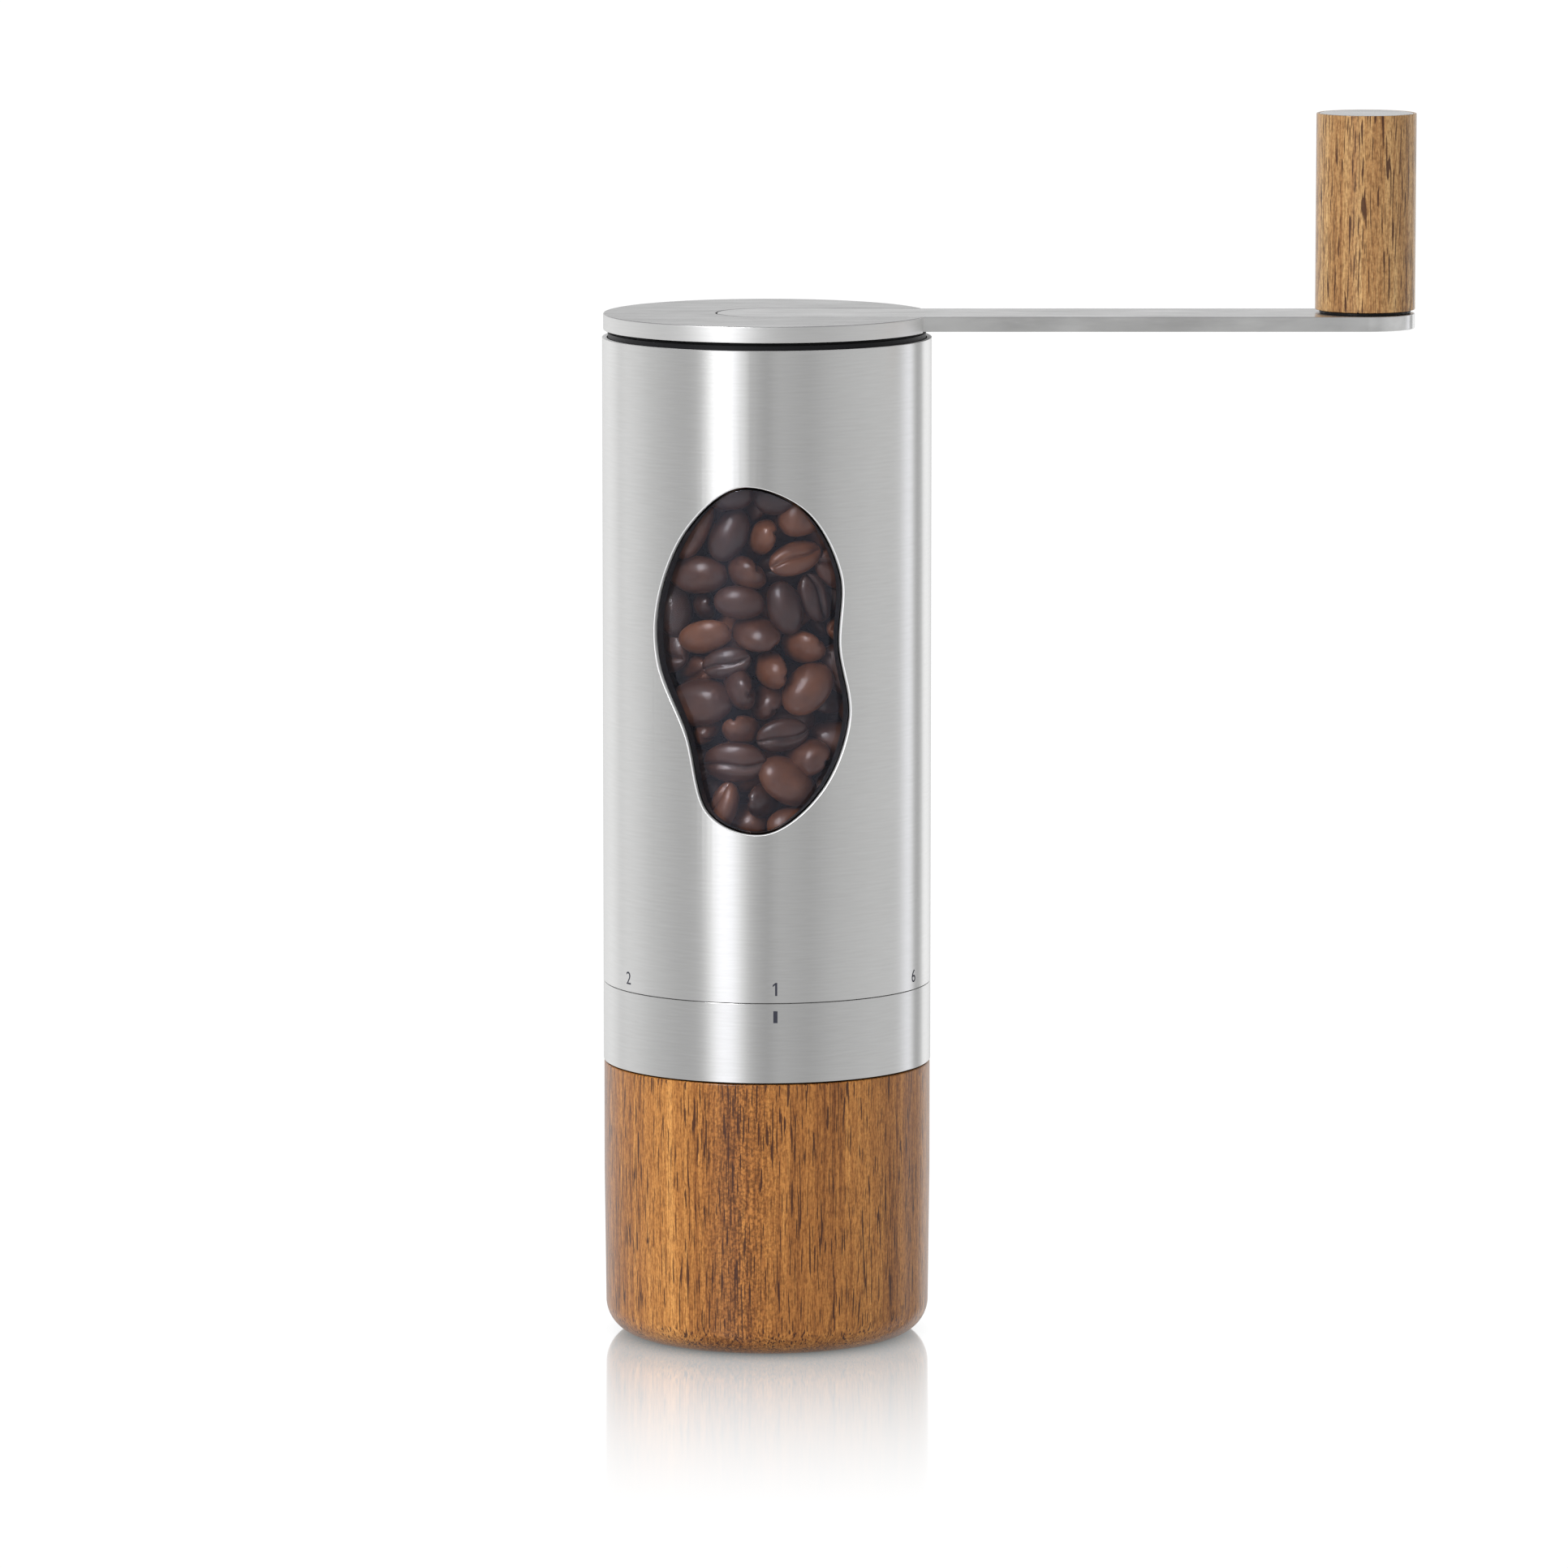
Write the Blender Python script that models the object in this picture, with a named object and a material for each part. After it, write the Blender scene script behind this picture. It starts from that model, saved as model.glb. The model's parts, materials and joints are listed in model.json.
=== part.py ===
"""Hand crank coffee grinder with a steel body, a wooden grounds cup and a bean window.

The mill stands on its wooden cup. The steel body, with the hopper, the burr set and an
adjusting ring round its foot, pulls up off the cup. A lid with the crank closes the hopper
and drives the shaft through a square socket. Units are metres, +Z is up, the origin is the
centre of the cup's base, and the crank arm points along +X at rest.
"""

import math

import bmesh
import bpy
from mathutils import Matrix, Vector

MM = 0.001

# --- Driving dimensions -----------------------------------------------------------------

BODY_R = 27.5 * MM  # outside of the steel tube and of the adjusting ring
TUBE_WALL = 0.75 * MM
TUBE_HEIGHT = 108.25 * MM
RING_WALL = 0.75 * MM
RING_HEIGHT = 13.3 * MM
RING_SEAM = 0.25 * MM  # fine line between the ring and the tube

CUP_HEIGHT = 46.3 * MM
CUP_INSET = 0.1 * MM  # the cup stands this much inside the steel
CUP_TAPER = 0.25 * MM
CUP_WALL = 3.5 * MM
CUP_FLOOR = 5.0 * MM
CUP_FOOT_R = 5.5 * MM  # rounding of the bottom edge
LINER_WALL = 0.7 * MM

SPIGOT_DEPTH = 6.0 * MM  # how far the burr housing reaches into the cup
SPIGOT_PLAY = 0.5 * MM
SPIGOT_WALL = 0.9 * MM
HOUSING_SKIRT = 1.55 * MM
FUNNEL_HEIGHT = 10.65 * MM
THROAT_HEIGHT = 2.4 * MM

COLLAR_LIP = 1.3 * MM
LUG_REACH = 1.9 * MM  # depth of the collar's groove
BURR_TRAVEL = 1.1 * MM
BRIDGE_HEIGHT = 3.0 * MM
BRIDGE_SPOKE = 4.0 * MM
SPIDER_SPOKE = 3.2 * MM
SPIDER_HEIGHT = 5.0 * MM

BURR_HEIGHT = 15.9 * MM
BURR_WALL = 2.4 * MM  # at the grinding edge
BURR_WAIST_RISE = 10.6 * MM
BURR_CONE_DROP = 4.2 * MM  # how much narrower the ring burr is at its waist
GRIND_GAP = 0.4 * MM
CLAMP_THICKNESS = 1.3 * MM

SHAFT_R = 3.0 * MM
SQUARE_HALF = 2.1 * MM  # half the width of the shaft's square end
SQUARE_LENGTH = 9.4 * MM
BUSH_WALL = 0.6 * MM
BOSS_WALL = 1.2 * MM
SPRING_WIRE_R = 0.4 * MM
SPRING_TURNS = 3.5

SLEEVE_WALL = 1.95 * MM
SLEEVE_STAND = 0.6 * MM  # how far the sleeve's rim stands above the tube
LENS_INSET = 0.3 * MM  # the lens lies this far below the steel's surface
WINDOW_GAP = 0.5 * MM  # between the lens and the edge of the cut-out
WINDOW_RISE = 32.45 * MM  # window's middle above the burr housing

LID_GAP = 1.1 * MM  # between the tube and the crank disc
LID_PLATE = 1.3 * MM
LID_SKIRT = 6.4 * MM
LID_SKIRT_WALL = 1.5 * MM

DISC_INSET = 0.2 * MM
DISC_THICKNESS = 2.7 * MM
EDGE_BREAK = 0.2 * MM
ARM_THICKNESS = 2.5 * MM
ARM_WIDTH = 16.6 * MM
ARM_REACH = 99.7 * MM  # crank axis to knob axis
INLAY_GAP = 0.15 * MM
HUB_FLANGE = 2.0 * MM
HUB_STEM_WALL = 3.55 * MM
HUB_STEM_LENGTH = 9.2 * MM

KNOB_R = 8.32 * MM
KNOB_HEIGHT = 32.7 * MM
KNOB_GAP = 0.6 * MM
KNOB_CAP = 1.0 * MM  # steel disc let in flush with the wood's top
KNOB_RIM = 0.4 * MM  # wood left round the disc
PIN_R = 2.5 * MM
PIN_HEAD_R = 4.2 * MM
PIN_HEAD = 1.3 * MM

SEAT = 0.3 * MM  # between faces that touch
RUN = 0.15 * MM  # radial clearance of what turns or slides
PRESS = 0.2 * MM  # radial clearance of what is pressed or glued in
OVERCUT = 1 * MM  # how far a cutter runs past what it cuts

SEAL_GROOVE = 0.4 * MM  # depth of a seal's groove
SEAL_GROOVE_HEIGHT = 1.4 * MM

SCREW_R = 0.8 * MM
SCREW_HEAD_R = 1.3 * MM
SCREW_HEAD = 0.9 * MM
SCREW_LENGTH = 5.0 * MM

FINE = 40  # sides of the large round pieces
MEDIUM = 28
SMALL = 20
TINY = 8

# The window's outline, unrolled: round the tube towards +X, and up from its middle.
WINDOW_OUTLINE = [
    (6.7, 24.8),
    (13.0, 14.0),
    (12.8, 2.0),
    (14.7, -10.0),
    (9.8, -21.7),
    (0.0, -29.0),
    (-10.3, -25.6),
    (-14.3, -12.7),
    (-20.0, -1.0),
    (-19.8, 9.7),
    (-14.0, 21.5),
    (-4.4, 28.7),
]

# --- Heights, from the cup up -----------------------------------------------------------

RING_BOTTOM = CUP_HEIGHT + SEAT
RING_TOP = RING_BOTTOM + RING_HEIGHT
TUBE_BOTTOM = RING_TOP + RING_SEAM
TUBE_TOP = TUBE_BOTTOM + TUBE_HEIGHT
DISC_BOTTOM = TUBE_TOP + LID_GAP
DISC_TOP = DISC_BOTTOM + DISC_THICKNESS
ARM_BOTTOM = DISC_TOP - ARM_THICKNESS
KNOB_BOTTOM = DISC_TOP + KNOB_GAP
KNOB_TOP = KNOB_BOTTOM + KNOB_HEIGHT

COLLAR_BOTTOM = RING_BOTTOM + SEAT
GROOVE_BOTTOM = COLLAR_BOTTOM + COLLAR_LIP
BRIDGE_BOTTOM = GROOVE_BOTTOM + BURR_TRAVEL + SEAT
BRIDGE_TOP = BRIDGE_BOTTOM + BRIDGE_HEIGHT
GROOVE_TOP = BRIDGE_TOP + SEAT
BRIDGE_BOSS_BOTTOM = BRIDGE_BOTTOM - 1.0 * MM
CLIP_TOP = BRIDGE_BOSS_BOTTOM - SEAT
CLIP_THICKNESS = 0.8 * MM
SHAFT_BOTTOM = CLIP_TOP - CLIP_THICKNESS - 1.0 * MM
WASHER_BOTTOM = BRIDGE_TOP + SEAT
WASHER_TOP = WASHER_BOTTOM + 0.7 * MM
DRIVER_BOTTOM = WASHER_TOP + SEAT
DRIVER_TOP = DRIVER_BOTTOM + 2.2 * MM

CLAMP_BOTTOM = BRIDGE_TOP + 1.2 * MM
CLAMP_TOP = CLAMP_BOTTOM + CLAMP_THICKNESS
BURR_BOTTOM = CLAMP_TOP + SEAT
BURR_TOP = BURR_BOTTOM + BURR_HEIGHT
INNER_BURR_BOTTOM = BURR_BOTTOM - 1.0 * MM
INNER_BURR_TOP = BURR_TOP - 0.4 * MM
POCKET_TOP = BURR_TOP + SEAT
THROAT_TOP = POCKET_TOP + THROAT_HEIGHT
HOUSING_TOP = THROAT_TOP + FUNNEL_HEIGHT
HOUSING_BOTTOM = CUP_HEIGHT - SPIGOT_DEPTH
NUT_BOTTOM = INNER_BURR_TOP + SEAT
NUT_TOP = NUT_BOTTOM + 3.0 * MM
SPIDER_TOP = HOUSING_TOP - 0.15 * MM
SPIDER_BOTTOM = SPIDER_TOP - SPIDER_HEIGHT

SLEEVE_BOTTOM = HOUSING_TOP + SEAT
SLEEVE_TOP = TUBE_TOP + SLEEVE_STAND
WINDOW_Z = HOUSING_TOP + WINDOW_RISE

LID_TOP = DISC_BOTTOM - SEAT
LID_UNDER = LID_TOP - LID_PLATE
SLEEVE_STEP = LID_UNDER - SEAT
SKIRT_BOTTOM = LID_UNDER - LID_SKIRT
HUB_TOP = DISC_BOTTOM - SEAT
HUB_UNDER = HUB_TOP - HUB_FLANGE
HUB_BOTTOM = HUB_UNDER - HUB_STEM_LENGTH
RECESS_FLOOR = HUB_UNDER - SEAT
SOCKET_TOP = HUB_UNDER - 1.0 * MM
SHAFT_TOP = SOCKET_TOP - SEAT

# --- Radii, from the outside in ---------------------------------------------------------

TUBE_IN = BODY_R - TUBE_WALL
SLEEVE_OUT = TUBE_IN - PRESS
SLEEVE_IN = SLEEVE_OUT - SLEEVE_WALL
SLEEVE_STEP_R = SLEEVE_OUT - 0.45 * MM
RING_IN = BODY_R - RING_WALL

CUP_R = BODY_R - CUP_INSET
CUP_BORE = CUP_R - CUP_WALL
LINER_OUT = CUP_BORE - SEAT
LINER_IN = LINER_OUT - LINER_WALL
SPIGOT_R = LINER_IN - SPIGOT_PLAY
HOUSING_BORE = SPIGOT_R - SPIGOT_WALL
CLAMP_R = HOUSING_BORE - PRESS
CLAMP_CIRCLE = HOUSING_BORE - SCREW_HEAD_R - SEAT
BURR_POCKET_R = CLAMP_CIRCLE - SCREW_R - 1.3 * MM
BURR_R = BURR_POCKET_R - PRESS
CLAMP_IN = BURR_R - 1.2 * MM
THROAT_R = BURR_R - 1.8 * MM
FUNNEL_R = SLEEVE_IN - PRESS

COLLAR_OUT = RING_IN - SEAT
COLLAR_IN = SPIGOT_R + SEAT
GROOVE_R = COLLAR_IN + LUG_REACH
LUG_R = GROOVE_R - SEAT

BUSH_IN = SHAFT_R + RUN
BUSH_OUT = BUSH_IN + BUSH_WALL
BOSS_BORE = BUSH_OUT + RUN
BOSS_R = BOSS_BORE + BOSS_WALL
BURR_BORE = SHAFT_R + SEAT
INNER_BURR_TOP_R = SHAFT_R + 2.6 * MM

HUB_STEM_R = SQUARE_HALF * math.sqrt(2) + PRESS + HUB_STEM_WALL
HUB_CIRCLE = ARM_WIDTH / 2 + 2.5 * MM
HUB_FLANGE_R = HUB_CIRCLE + SCREW_HEAD_R + 1.2 * MM
LID_BUSH_IN = HUB_STEM_R + RUN
LID_BUSH_OUT = LID_BUSH_IN + 0.75 * MM
LID_BORE = LID_BUSH_OUT + RUN
LID_RECESS_R = HUB_FLANGE_R + 0.4 * MM
LID_FLANGE_R = SLEEVE_STEP_R - PRESS
SKIRT_R = SLEEVE_IN - SEAT

KNOB_SLEEVE_IN = PIN_R + RUN
KNOB_SLEEVE_OUT = KNOB_SLEEVE_IN + 1.0 * MM
KNOB_BORE = KNOB_SLEEVE_OUT + RUN
KNOB_LEDGE = KNOB_TOP - KNOB_CAP - SEAT
KNOB_CAP_R = KNOB_R - KNOB_RIM - RUN
PIN_HEAD_TOP = KNOB_LEDGE - 0.55 * MM
PIN_HEAD_UNDER = PIN_HEAD_TOP - PIN_HEAD

THIRDS = [math.radians(a) for a in (90, 210, 330)]
SIXTHS = [math.radians(a) for a in (30, 150, 270)]

# --- Materials --------------------------------------------------------------------------


def finish(name, colour, roughness, metallic=0.0, transmission=0.0):
    made = bpy.data.materials.new(name)
    made.use_nodes = True
    shader = made.node_tree.nodes["Principled BSDF"]
    shader.inputs["Base Color"].default_value = (*colour, 1.0)
    shader.inputs["Roughness"].default_value = roughness
    shader.inputs["Metallic"].default_value = metallic
    shader.inputs["Transmission Weight"].default_value = transmission
    made.diffuse_color = (*colour, 1.0)
    return made


def make_finishes():
    return {
        "steel": finish("brushed_steel", (0.62, 0.62, 0.63), 0.28, 1.0),
        "bright": finish("bright_steel", (0.7, 0.7, 0.7), 0.2, 1.0),
        "wood": finish("cup_wood", (0.36, 0.18, 0.08), 0.45),
        "knob_wood": finish("knob_wood", (0.44, 0.26, 0.12), 0.45),
        "black": finish("black_plastic", (0.015, 0.015, 0.016), 0.4),
        "clear": finish("clear_plastic", (0.9, 0.92, 0.94), 0.05, 0.0, 1.0),
        "ceramic": finish("burr_ceramic", (0.78, 0.77, 0.73), 0.35),
        "bronze": finish("bush_bronze", (0.55, 0.36, 0.16), 0.3, 1.0),
        "rubber": finish("seal_rubber", (0.02, 0.02, 0.02), 0.7),
    }


# --- Shapes -----------------------------------------------------------------------------


def clear_scene():
    for thing in list(bpy.data.objects):
        bpy.data.objects.remove(thing, do_unlink=True)


def axis(name, parent=None, x=0.0):
    """An empty on a body's joint axis. Its pieces are its children."""
    empty = bpy.data.objects.new(name, None)
    empty.empty_display_size = 0.02
    empty.location = (x, 0, 0)
    if parent:
        empty.parent = parent
        empty.location.x -= parent.matrix_world.translation.x
    bpy.context.scene.collection.objects.link(empty)
    bpy.context.view_layer.update()
    return empty


def put(name, bm, material, parent):
    """Turns a bmesh into an object under its body's axis."""
    bmesh.ops.recalc_face_normals(bm, faces=bm.faces)
    mesh = bpy.data.meshes.new(name)
    bm.to_mesh(mesh)
    bm.free()
    mesh.shade_smooth()
    mesh.set_sharp_from_angle(angle=math.radians(30))
    piece = bpy.data.objects.new(name, mesh)
    if material:
        mesh.materials.append(material)
    if parent:
        piece.parent = parent
    bpy.context.scene.collection.objects.link(piece)
    return piece


def spun(profile, sides, turn=0.0):
    """A turned solid from (radius, height) points. A profile that starts and ends on the axis
    stays open there, and any other is closed."""
    bm = bmesh.new()
    points = [bm.verts.new((r, 0, z)) for r, z in profile]
    edges = [bm.edges.new(pair) for pair in zip(points, points[1:])]
    if profile[0][0] > 0 or profile[-1][0] > 0:
        edges.append(bm.edges.new((points[-1], points[0])))
    bmesh.ops.spin(
        bm, geom=points + edges, axis=(0, 0, 1), cent=(0, 0, 0), angle=math.tau, steps=sides, use_merge=True
    )
    bmesh.ops.remove_doubles(bm, verts=bm.verts, dist=1e-7)
    bmesh.ops.rotate(bm, verts=bm.verts, matrix=Matrix.Rotation(turn, 3, "Z"))
    return bm


def tube_profile(inner, outer, low, high):
    return [(inner, low), (outer, low), (outer, high), (inner, high)]


def rod(radius, low, high, sides):
    return spun([(0, low), (radius, low), (radius, high), (0, high)], sides)


def turned(name, profile, material, parent, sides=FINE):
    return put(name, spun(profile, sides), material, parent)


def arc(centre_r, centre_z, radius, start, end, count):
    """Points of an arc in a turned profile, with angles in degrees."""
    steps = [math.radians(start + (end - start) * i / count) for i in range(count + 1)]
    return [(centre_r + radius * math.cos(a), centre_z + radius * math.sin(a)) for a in steps]


def block(low, high, turn=0.0):
    bm = bmesh.new()
    bmesh.ops.create_cube(bm, size=1.0)
    size = Vector(high) - Vector(low)
    bmesh.ops.scale(bm, verts=bm.verts, vec=size)
    bmesh.ops.translate(bm, verts=bm.verts, vec=(Vector(high) + Vector(low)) / 2)
    bmesh.ops.rotate(bm, verts=bm.verts, matrix=Matrix.Rotation(turn, 3, "Z"))
    return bm


def slotted_plate(length, width, low, high, sides=MEDIUM):
    """A plate with two round ends, from the Z axis along +X."""
    bm = bmesh.new()
    half = sides // 2
    outline = []
    for i in range(half + 1):
        a = math.pi / 2 + math.pi * i / half
        outline.append((width / 2 * math.cos(a), width / 2 * math.sin(a)))
    for i in range(half + 1):
        a = -math.pi / 2 + math.pi * i / half
        outline.append((length + width / 2 * math.cos(a), width / 2 * math.sin(a)))
    face = bm.faces.new([bm.verts.new((x, y, low)) for x, y in outline])
    raised = bmesh.ops.extrude_face_region(bm, geom=[face])
    tops = [v for v in raised["geom"] if isinstance(v, bmesh.types.BMVert)]
    bmesh.ops.translate(bm, verts=tops, vec=(0, 0, high - low))
    return bm


def shape_with(piece, operation, tools):
    """Adds one Boolean per tool mesh. The tools stay out of the build."""
    for i, bm in enumerate(tools):
        tool = put(f"tool_{piece.name}_{i}", bm, None, piece.parent)
        tool.hide_render = True
        tool.display_type = "WIRE"
        step = piece.modifiers.new(f"{operation.lower()}_{i}", "BOOLEAN")
        step.operation = operation
        step.object = tool
    return piece


def moved(bm, x=0.0, y=0.0):
    bmesh.ops.translate(bm, verts=bm.verts, vec=(x, y, 0))
    return bm


def around(radius, angle):
    return radius * math.cos(angle), radius * math.sin(angle)


# --- The window's outline ---------------------------------------------------------------


def closed_curve(points, steps=5):
    """A smooth closed curve through the points (Catmull-Rom)."""
    curve = []
    count = len(points)
    for i in range(count):
        a, b, c, d = (Vector(points[(i + k) % count]) for k in (-1, 0, 1, 2))
        for k in range(steps):
            t = k / steps
            square, cubic = 2 * a - 5 * b + 4 * c - d, 3 * b - a - 3 * c + d
            curve.append((2 * b + (c - a) * t + square * t**2 + cubic * t**3) / 2)
    return curve


def window_outline(inset):
    """The outline in metres, drawn in by the inset along its normals."""
    curve = [p * MM for p in closed_curve(WINDOW_OUTLINE)]
    drawn = []
    for i, p in enumerate(curve):
        along = (curve[(i + 1) % len(curve)] - curve[i - 1]).normalized()
        drawn.append(p + Vector((along.y, -along.x)) * inset)
    return drawn


def wrapped_plate(outline, inner, outer, fitted=True):
    """A plate cut to the outline and bent round the tube's front, from inner to outer radius.
    A fitted plate is sliced along the tube's facets, so that it lies exactly in them. A tool
    for cutting is sliced between them, so that no edge of it meets one of the tube's."""
    bm = bmesh.new()
    bm.faces.new([bm.verts.new((p.x / BODY_R, 0, WINDOW_Z + p.y)) for p in outline])
    facet = math.tau / FINE
    start = 0.0 if fitted else 0.47 * facet
    reach = int(math.pi / 2 / facet)
    for i in range(-reach, reach + 1):
        everything = bm.verts[:] + bm.edges[:] + bm.faces[:]
        bmesh.ops.bisect_plane(bm, geom=everything, plane_co=(start + i * facet, 0, 0), plane_no=(1, 0, 0))
    raised = bmesh.ops.extrude_face_region(bm, geom=bm.faces[:], use_keep_orig=True)
    outer_verts = {v for v in raised["geom"] if isinstance(v, bmesh.types.BMVert)}
    for v in bm.verts:
        turn = v.co.x
        radius = outer if v in outer_verts else inner
        if fitted:
            radius *= math.cos(facet / 2) / math.cos((turn % facet) - facet / 2)
        v.co = (radius * math.sin(turn), -radius * math.cos(turn), v.co.z)
    return bm


# --- Cup --------------------------------------------------------------------------------


def make_cup(looks, parent):
    foot = CUP_R - CUP_TAPER
    wood = [(0, 0), (foot - CUP_FOOT_R, 0)]
    wood += arc(foot - CUP_FOOT_R, CUP_FOOT_R, CUP_FOOT_R, -75, 0, 5)
    wood += [(CUP_R, CUP_HEIGHT * 0.6), (CUP_R, CUP_HEIGHT - EDGE_BREAK), (CUP_R - EDGE_BREAK, CUP_HEIGHT)]
    wood += [(CUP_BORE, CUP_HEIGHT), (CUP_BORE, CUP_FLOOR), (0, CUP_FLOOR)]
    turned("wood_cup", wood, looks["wood"], parent)
    floor = CUP_FLOOR + SEAT
    top = CUP_HEIGHT - SEAT
    liner = [(0, floor), (LINER_OUT, floor), (LINER_OUT, top), (LINER_IN, top)]
    liner += [(LINER_IN, floor + LINER_WALL), (0, floor + LINER_WALL)]
    turned("cup_liner", liner, looks["bright"], parent, MEDIUM)


# --- Mill body --------------------------------------------------------------------------


def make_tube(looks, parent):
    tube = turned("body_tube", tube_profile(TUBE_IN, BODY_R, TUBE_BOTTOM, TUBE_TOP), looks["steel"], parent)
    hole = wrapped_plate(window_outline(0), TUBE_IN - OVERCUT, BODY_R + OVERCUT, fitted=False)
    shape_with(tube, "DIFFERENCE", [hole])
    sleeve_profile = [
        (SLEEVE_IN, SLEEVE_BOTTOM),
        (SLEEVE_OUT, SLEEVE_BOTTOM),
        (SLEEVE_OUT, SLEEVE_TOP),
        (SLEEVE_STEP_R, SLEEVE_TOP),
        (SLEEVE_STEP_R, SLEEVE_STEP),
        (SLEEVE_IN, SLEEVE_STEP),
    ]
    sleeve = turned("hopper_sleeve", sleeve_profile, looks["black"], parent)
    edge = window_outline(WINDOW_GAP - SEAT)
    hole = wrapped_plate(edge, SLEEVE_IN - OVERCUT, SLEEVE_OUT + OVERCUT, fitted=False)
    shape_with(sleeve, "DIFFERENCE", [hole])
    lens = wrapped_plate(window_outline(WINDOW_GAP), SLEEVE_IN, BODY_R - LENS_INSET)
    put("window_lens", lens, looks["clear"], parent)


def seal_groove(radius, low):
    """A groove for a flat seal in a turned outer face, from the bottom up."""
    floor, high = radius - SEAL_GROOVE, low + SEAL_GROOVE_HEIGHT
    return [(radius, low), (floor, low), (floor, high), (radius, high)]


def seal_profile(radius, low, squeeze):
    """A flat seal in its groove that stands out of it by the squeeze."""
    high = low + SEAL_GROOVE_HEIGHT
    return tube_profile(radius - SEAL_GROOVE + RUN, radius + squeeze, low + RUN, high - RUN)


def make_housing(looks, parent):
    shoulder = TUBE_BOTTOM + RING_SEAM
    skirt_in = SLEEVE_OUT - HOUSING_SKIRT
    seal_low = HOUSING_BOTTOM + 1.7 * MM
    profile = [(HOUSING_BORE, HOUSING_BOTTOM), (SPIGOT_R, HOUSING_BOTTOM)]
    profile += seal_groove(SPIGOT_R, seal_low)
    profile += [
        (SPIGOT_R, POCKET_TOP + 0.4 * MM),
        (skirt_in, THROAT_TOP + 2.0 * MM),
        (skirt_in, shoulder),
        (SLEEVE_OUT, shoulder),
        (SLEEVE_OUT, HOUSING_TOP),
        (FUNNEL_R, HOUSING_TOP),
        (THROAT_R, THROAT_TOP),
        (THROAT_R, POCKET_TOP),
        (BURR_POCKET_R, POCKET_TOP),
        (BURR_POCKET_R, BURR_BOTTOM),
        (HOUSING_BORE, BURR_BOTTOM),
    ]
    housing = turned("burr_housing", profile, looks["black"], parent)
    spokes = []
    for angle in THIRDS:
        low = (0, -SPIDER_SPOKE / 2, SPIDER_BOTTOM + 0.5 * MM)
        high = (FUNNEL_R + OVERCUT, SPIDER_SPOKE / 2, SPIDER_TOP - 0.5 * MM)
        spokes.append(block(low, high, angle))
    spokes.append(rod(BOSS_R, SPIDER_BOTTOM, SPIDER_TOP, SMALL))
    shape_with(housing, "UNION", spokes)
    cuts = [rod(BOSS_BORE, SPIDER_BOTTOM - OVERCUT, SPIDER_TOP + OVERCUT, SMALL)]
    half = BRIDGE_SPOKE / 2 + SEAT
    for angle in THIRDS:
        low = (HOUSING_BORE - OVERCUT, -half, GROOVE_BOTTOM)
        high = (SPIGOT_R + OVERCUT, half, GROOVE_TOP)
        cuts.append(block(low, high, angle))
    hole_r = SCREW_R + RUN
    hole_top = CLAMP_BOTTOM + SCREW_LENGTH + SEAT
    for angle in SIXTHS:
        hole = rod(hole_r, BURR_BOTTOM - OVERCUT, hole_top, TINY)
        cuts.append(moved(hole, *around(CLAMP_CIRCLE, angle)))
    shape_with(housing, "DIFFERENCE", cuts)
    turned("spigot_seal", seal_profile(SPIGOT_R, seal_low, SEAT), looks["rubber"], parent)
    bush = [
        (BUSH_IN, SPIDER_BOTTOM),
        (BUSH_OUT, SPIDER_BOTTOM),
        (BUSH_OUT, SPIDER_TOP + SEAT),
        (BOSS_R, SPIDER_TOP + SEAT),
        (BOSS_R, SPIDER_TOP + SEAT + BUSH_WALL),
        (BUSH_IN, SPIDER_TOP + SEAT + BUSH_WALL),
    ]
    turned("upper_bush", bush, looks["bronze"], parent, SMALL)


def make_outer_burr(looks, parent):
    edge = BURR_R - BURR_WALL
    profile = [
        (BURR_R, BURR_BOTTOM),
        (BURR_R, BURR_TOP),
        (BURR_R - 3.2 * MM, BURR_TOP),
        (edge - BURR_CONE_DROP, BURR_BOTTOM + BURR_WAIST_RISE),
        (edge, BURR_BOTTOM),
    ]
    turned("outer_burr", profile, looks["ceramic"], parent, MEDIUM)
    ring = tube_profile(CLAMP_IN, CLAMP_R, CLAMP_BOTTOM, CLAMP_TOP)
    clamp = turned("burr_clamp_ring", ring, looks["bright"], parent, MEDIUM)
    holes = []
    for angle in SIXTHS:
        low, high, radius = CLAMP_BOTTOM - OVERCUT, CLAMP_TOP + OVERCUT, SCREW_R + PRESS
        hole = rod(radius, low, high, TINY)
        holes.append(moved(hole, *around(CLAMP_CIRCLE, angle)))
    shape_with(clamp, "DIFFERENCE", holes)
    for i, angle in enumerate(SIXTHS):
        make_screw(f"clamp_screw_{i + 1}", around(CLAMP_CIRCLE, angle), CLAMP_BOTTOM - SEAT, looks, parent)


def make_screw(name, place, seat, looks, parent, length=SCREW_LENGTH):
    """A cap screw pointing up, whose head's upper face is at seat."""
    low = seat - SCREW_HEAD
    profile = [(0, low), (SCREW_HEAD_R, low), (SCREW_HEAD_R, seat)]
    profile += [(SCREW_R, seat), (SCREW_R, seat + length), (0, seat + length)]
    screw = put(name, moved(spun(profile, TINY), *place), looks["bright"], parent)
    key, depth = 0.7 * MM, 0.5 * MM
    socket = rod(key, low - depth, low + depth, 6)
    return shape_with(screw, "DIFFERENCE", [moved(socket, *place)])


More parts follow.
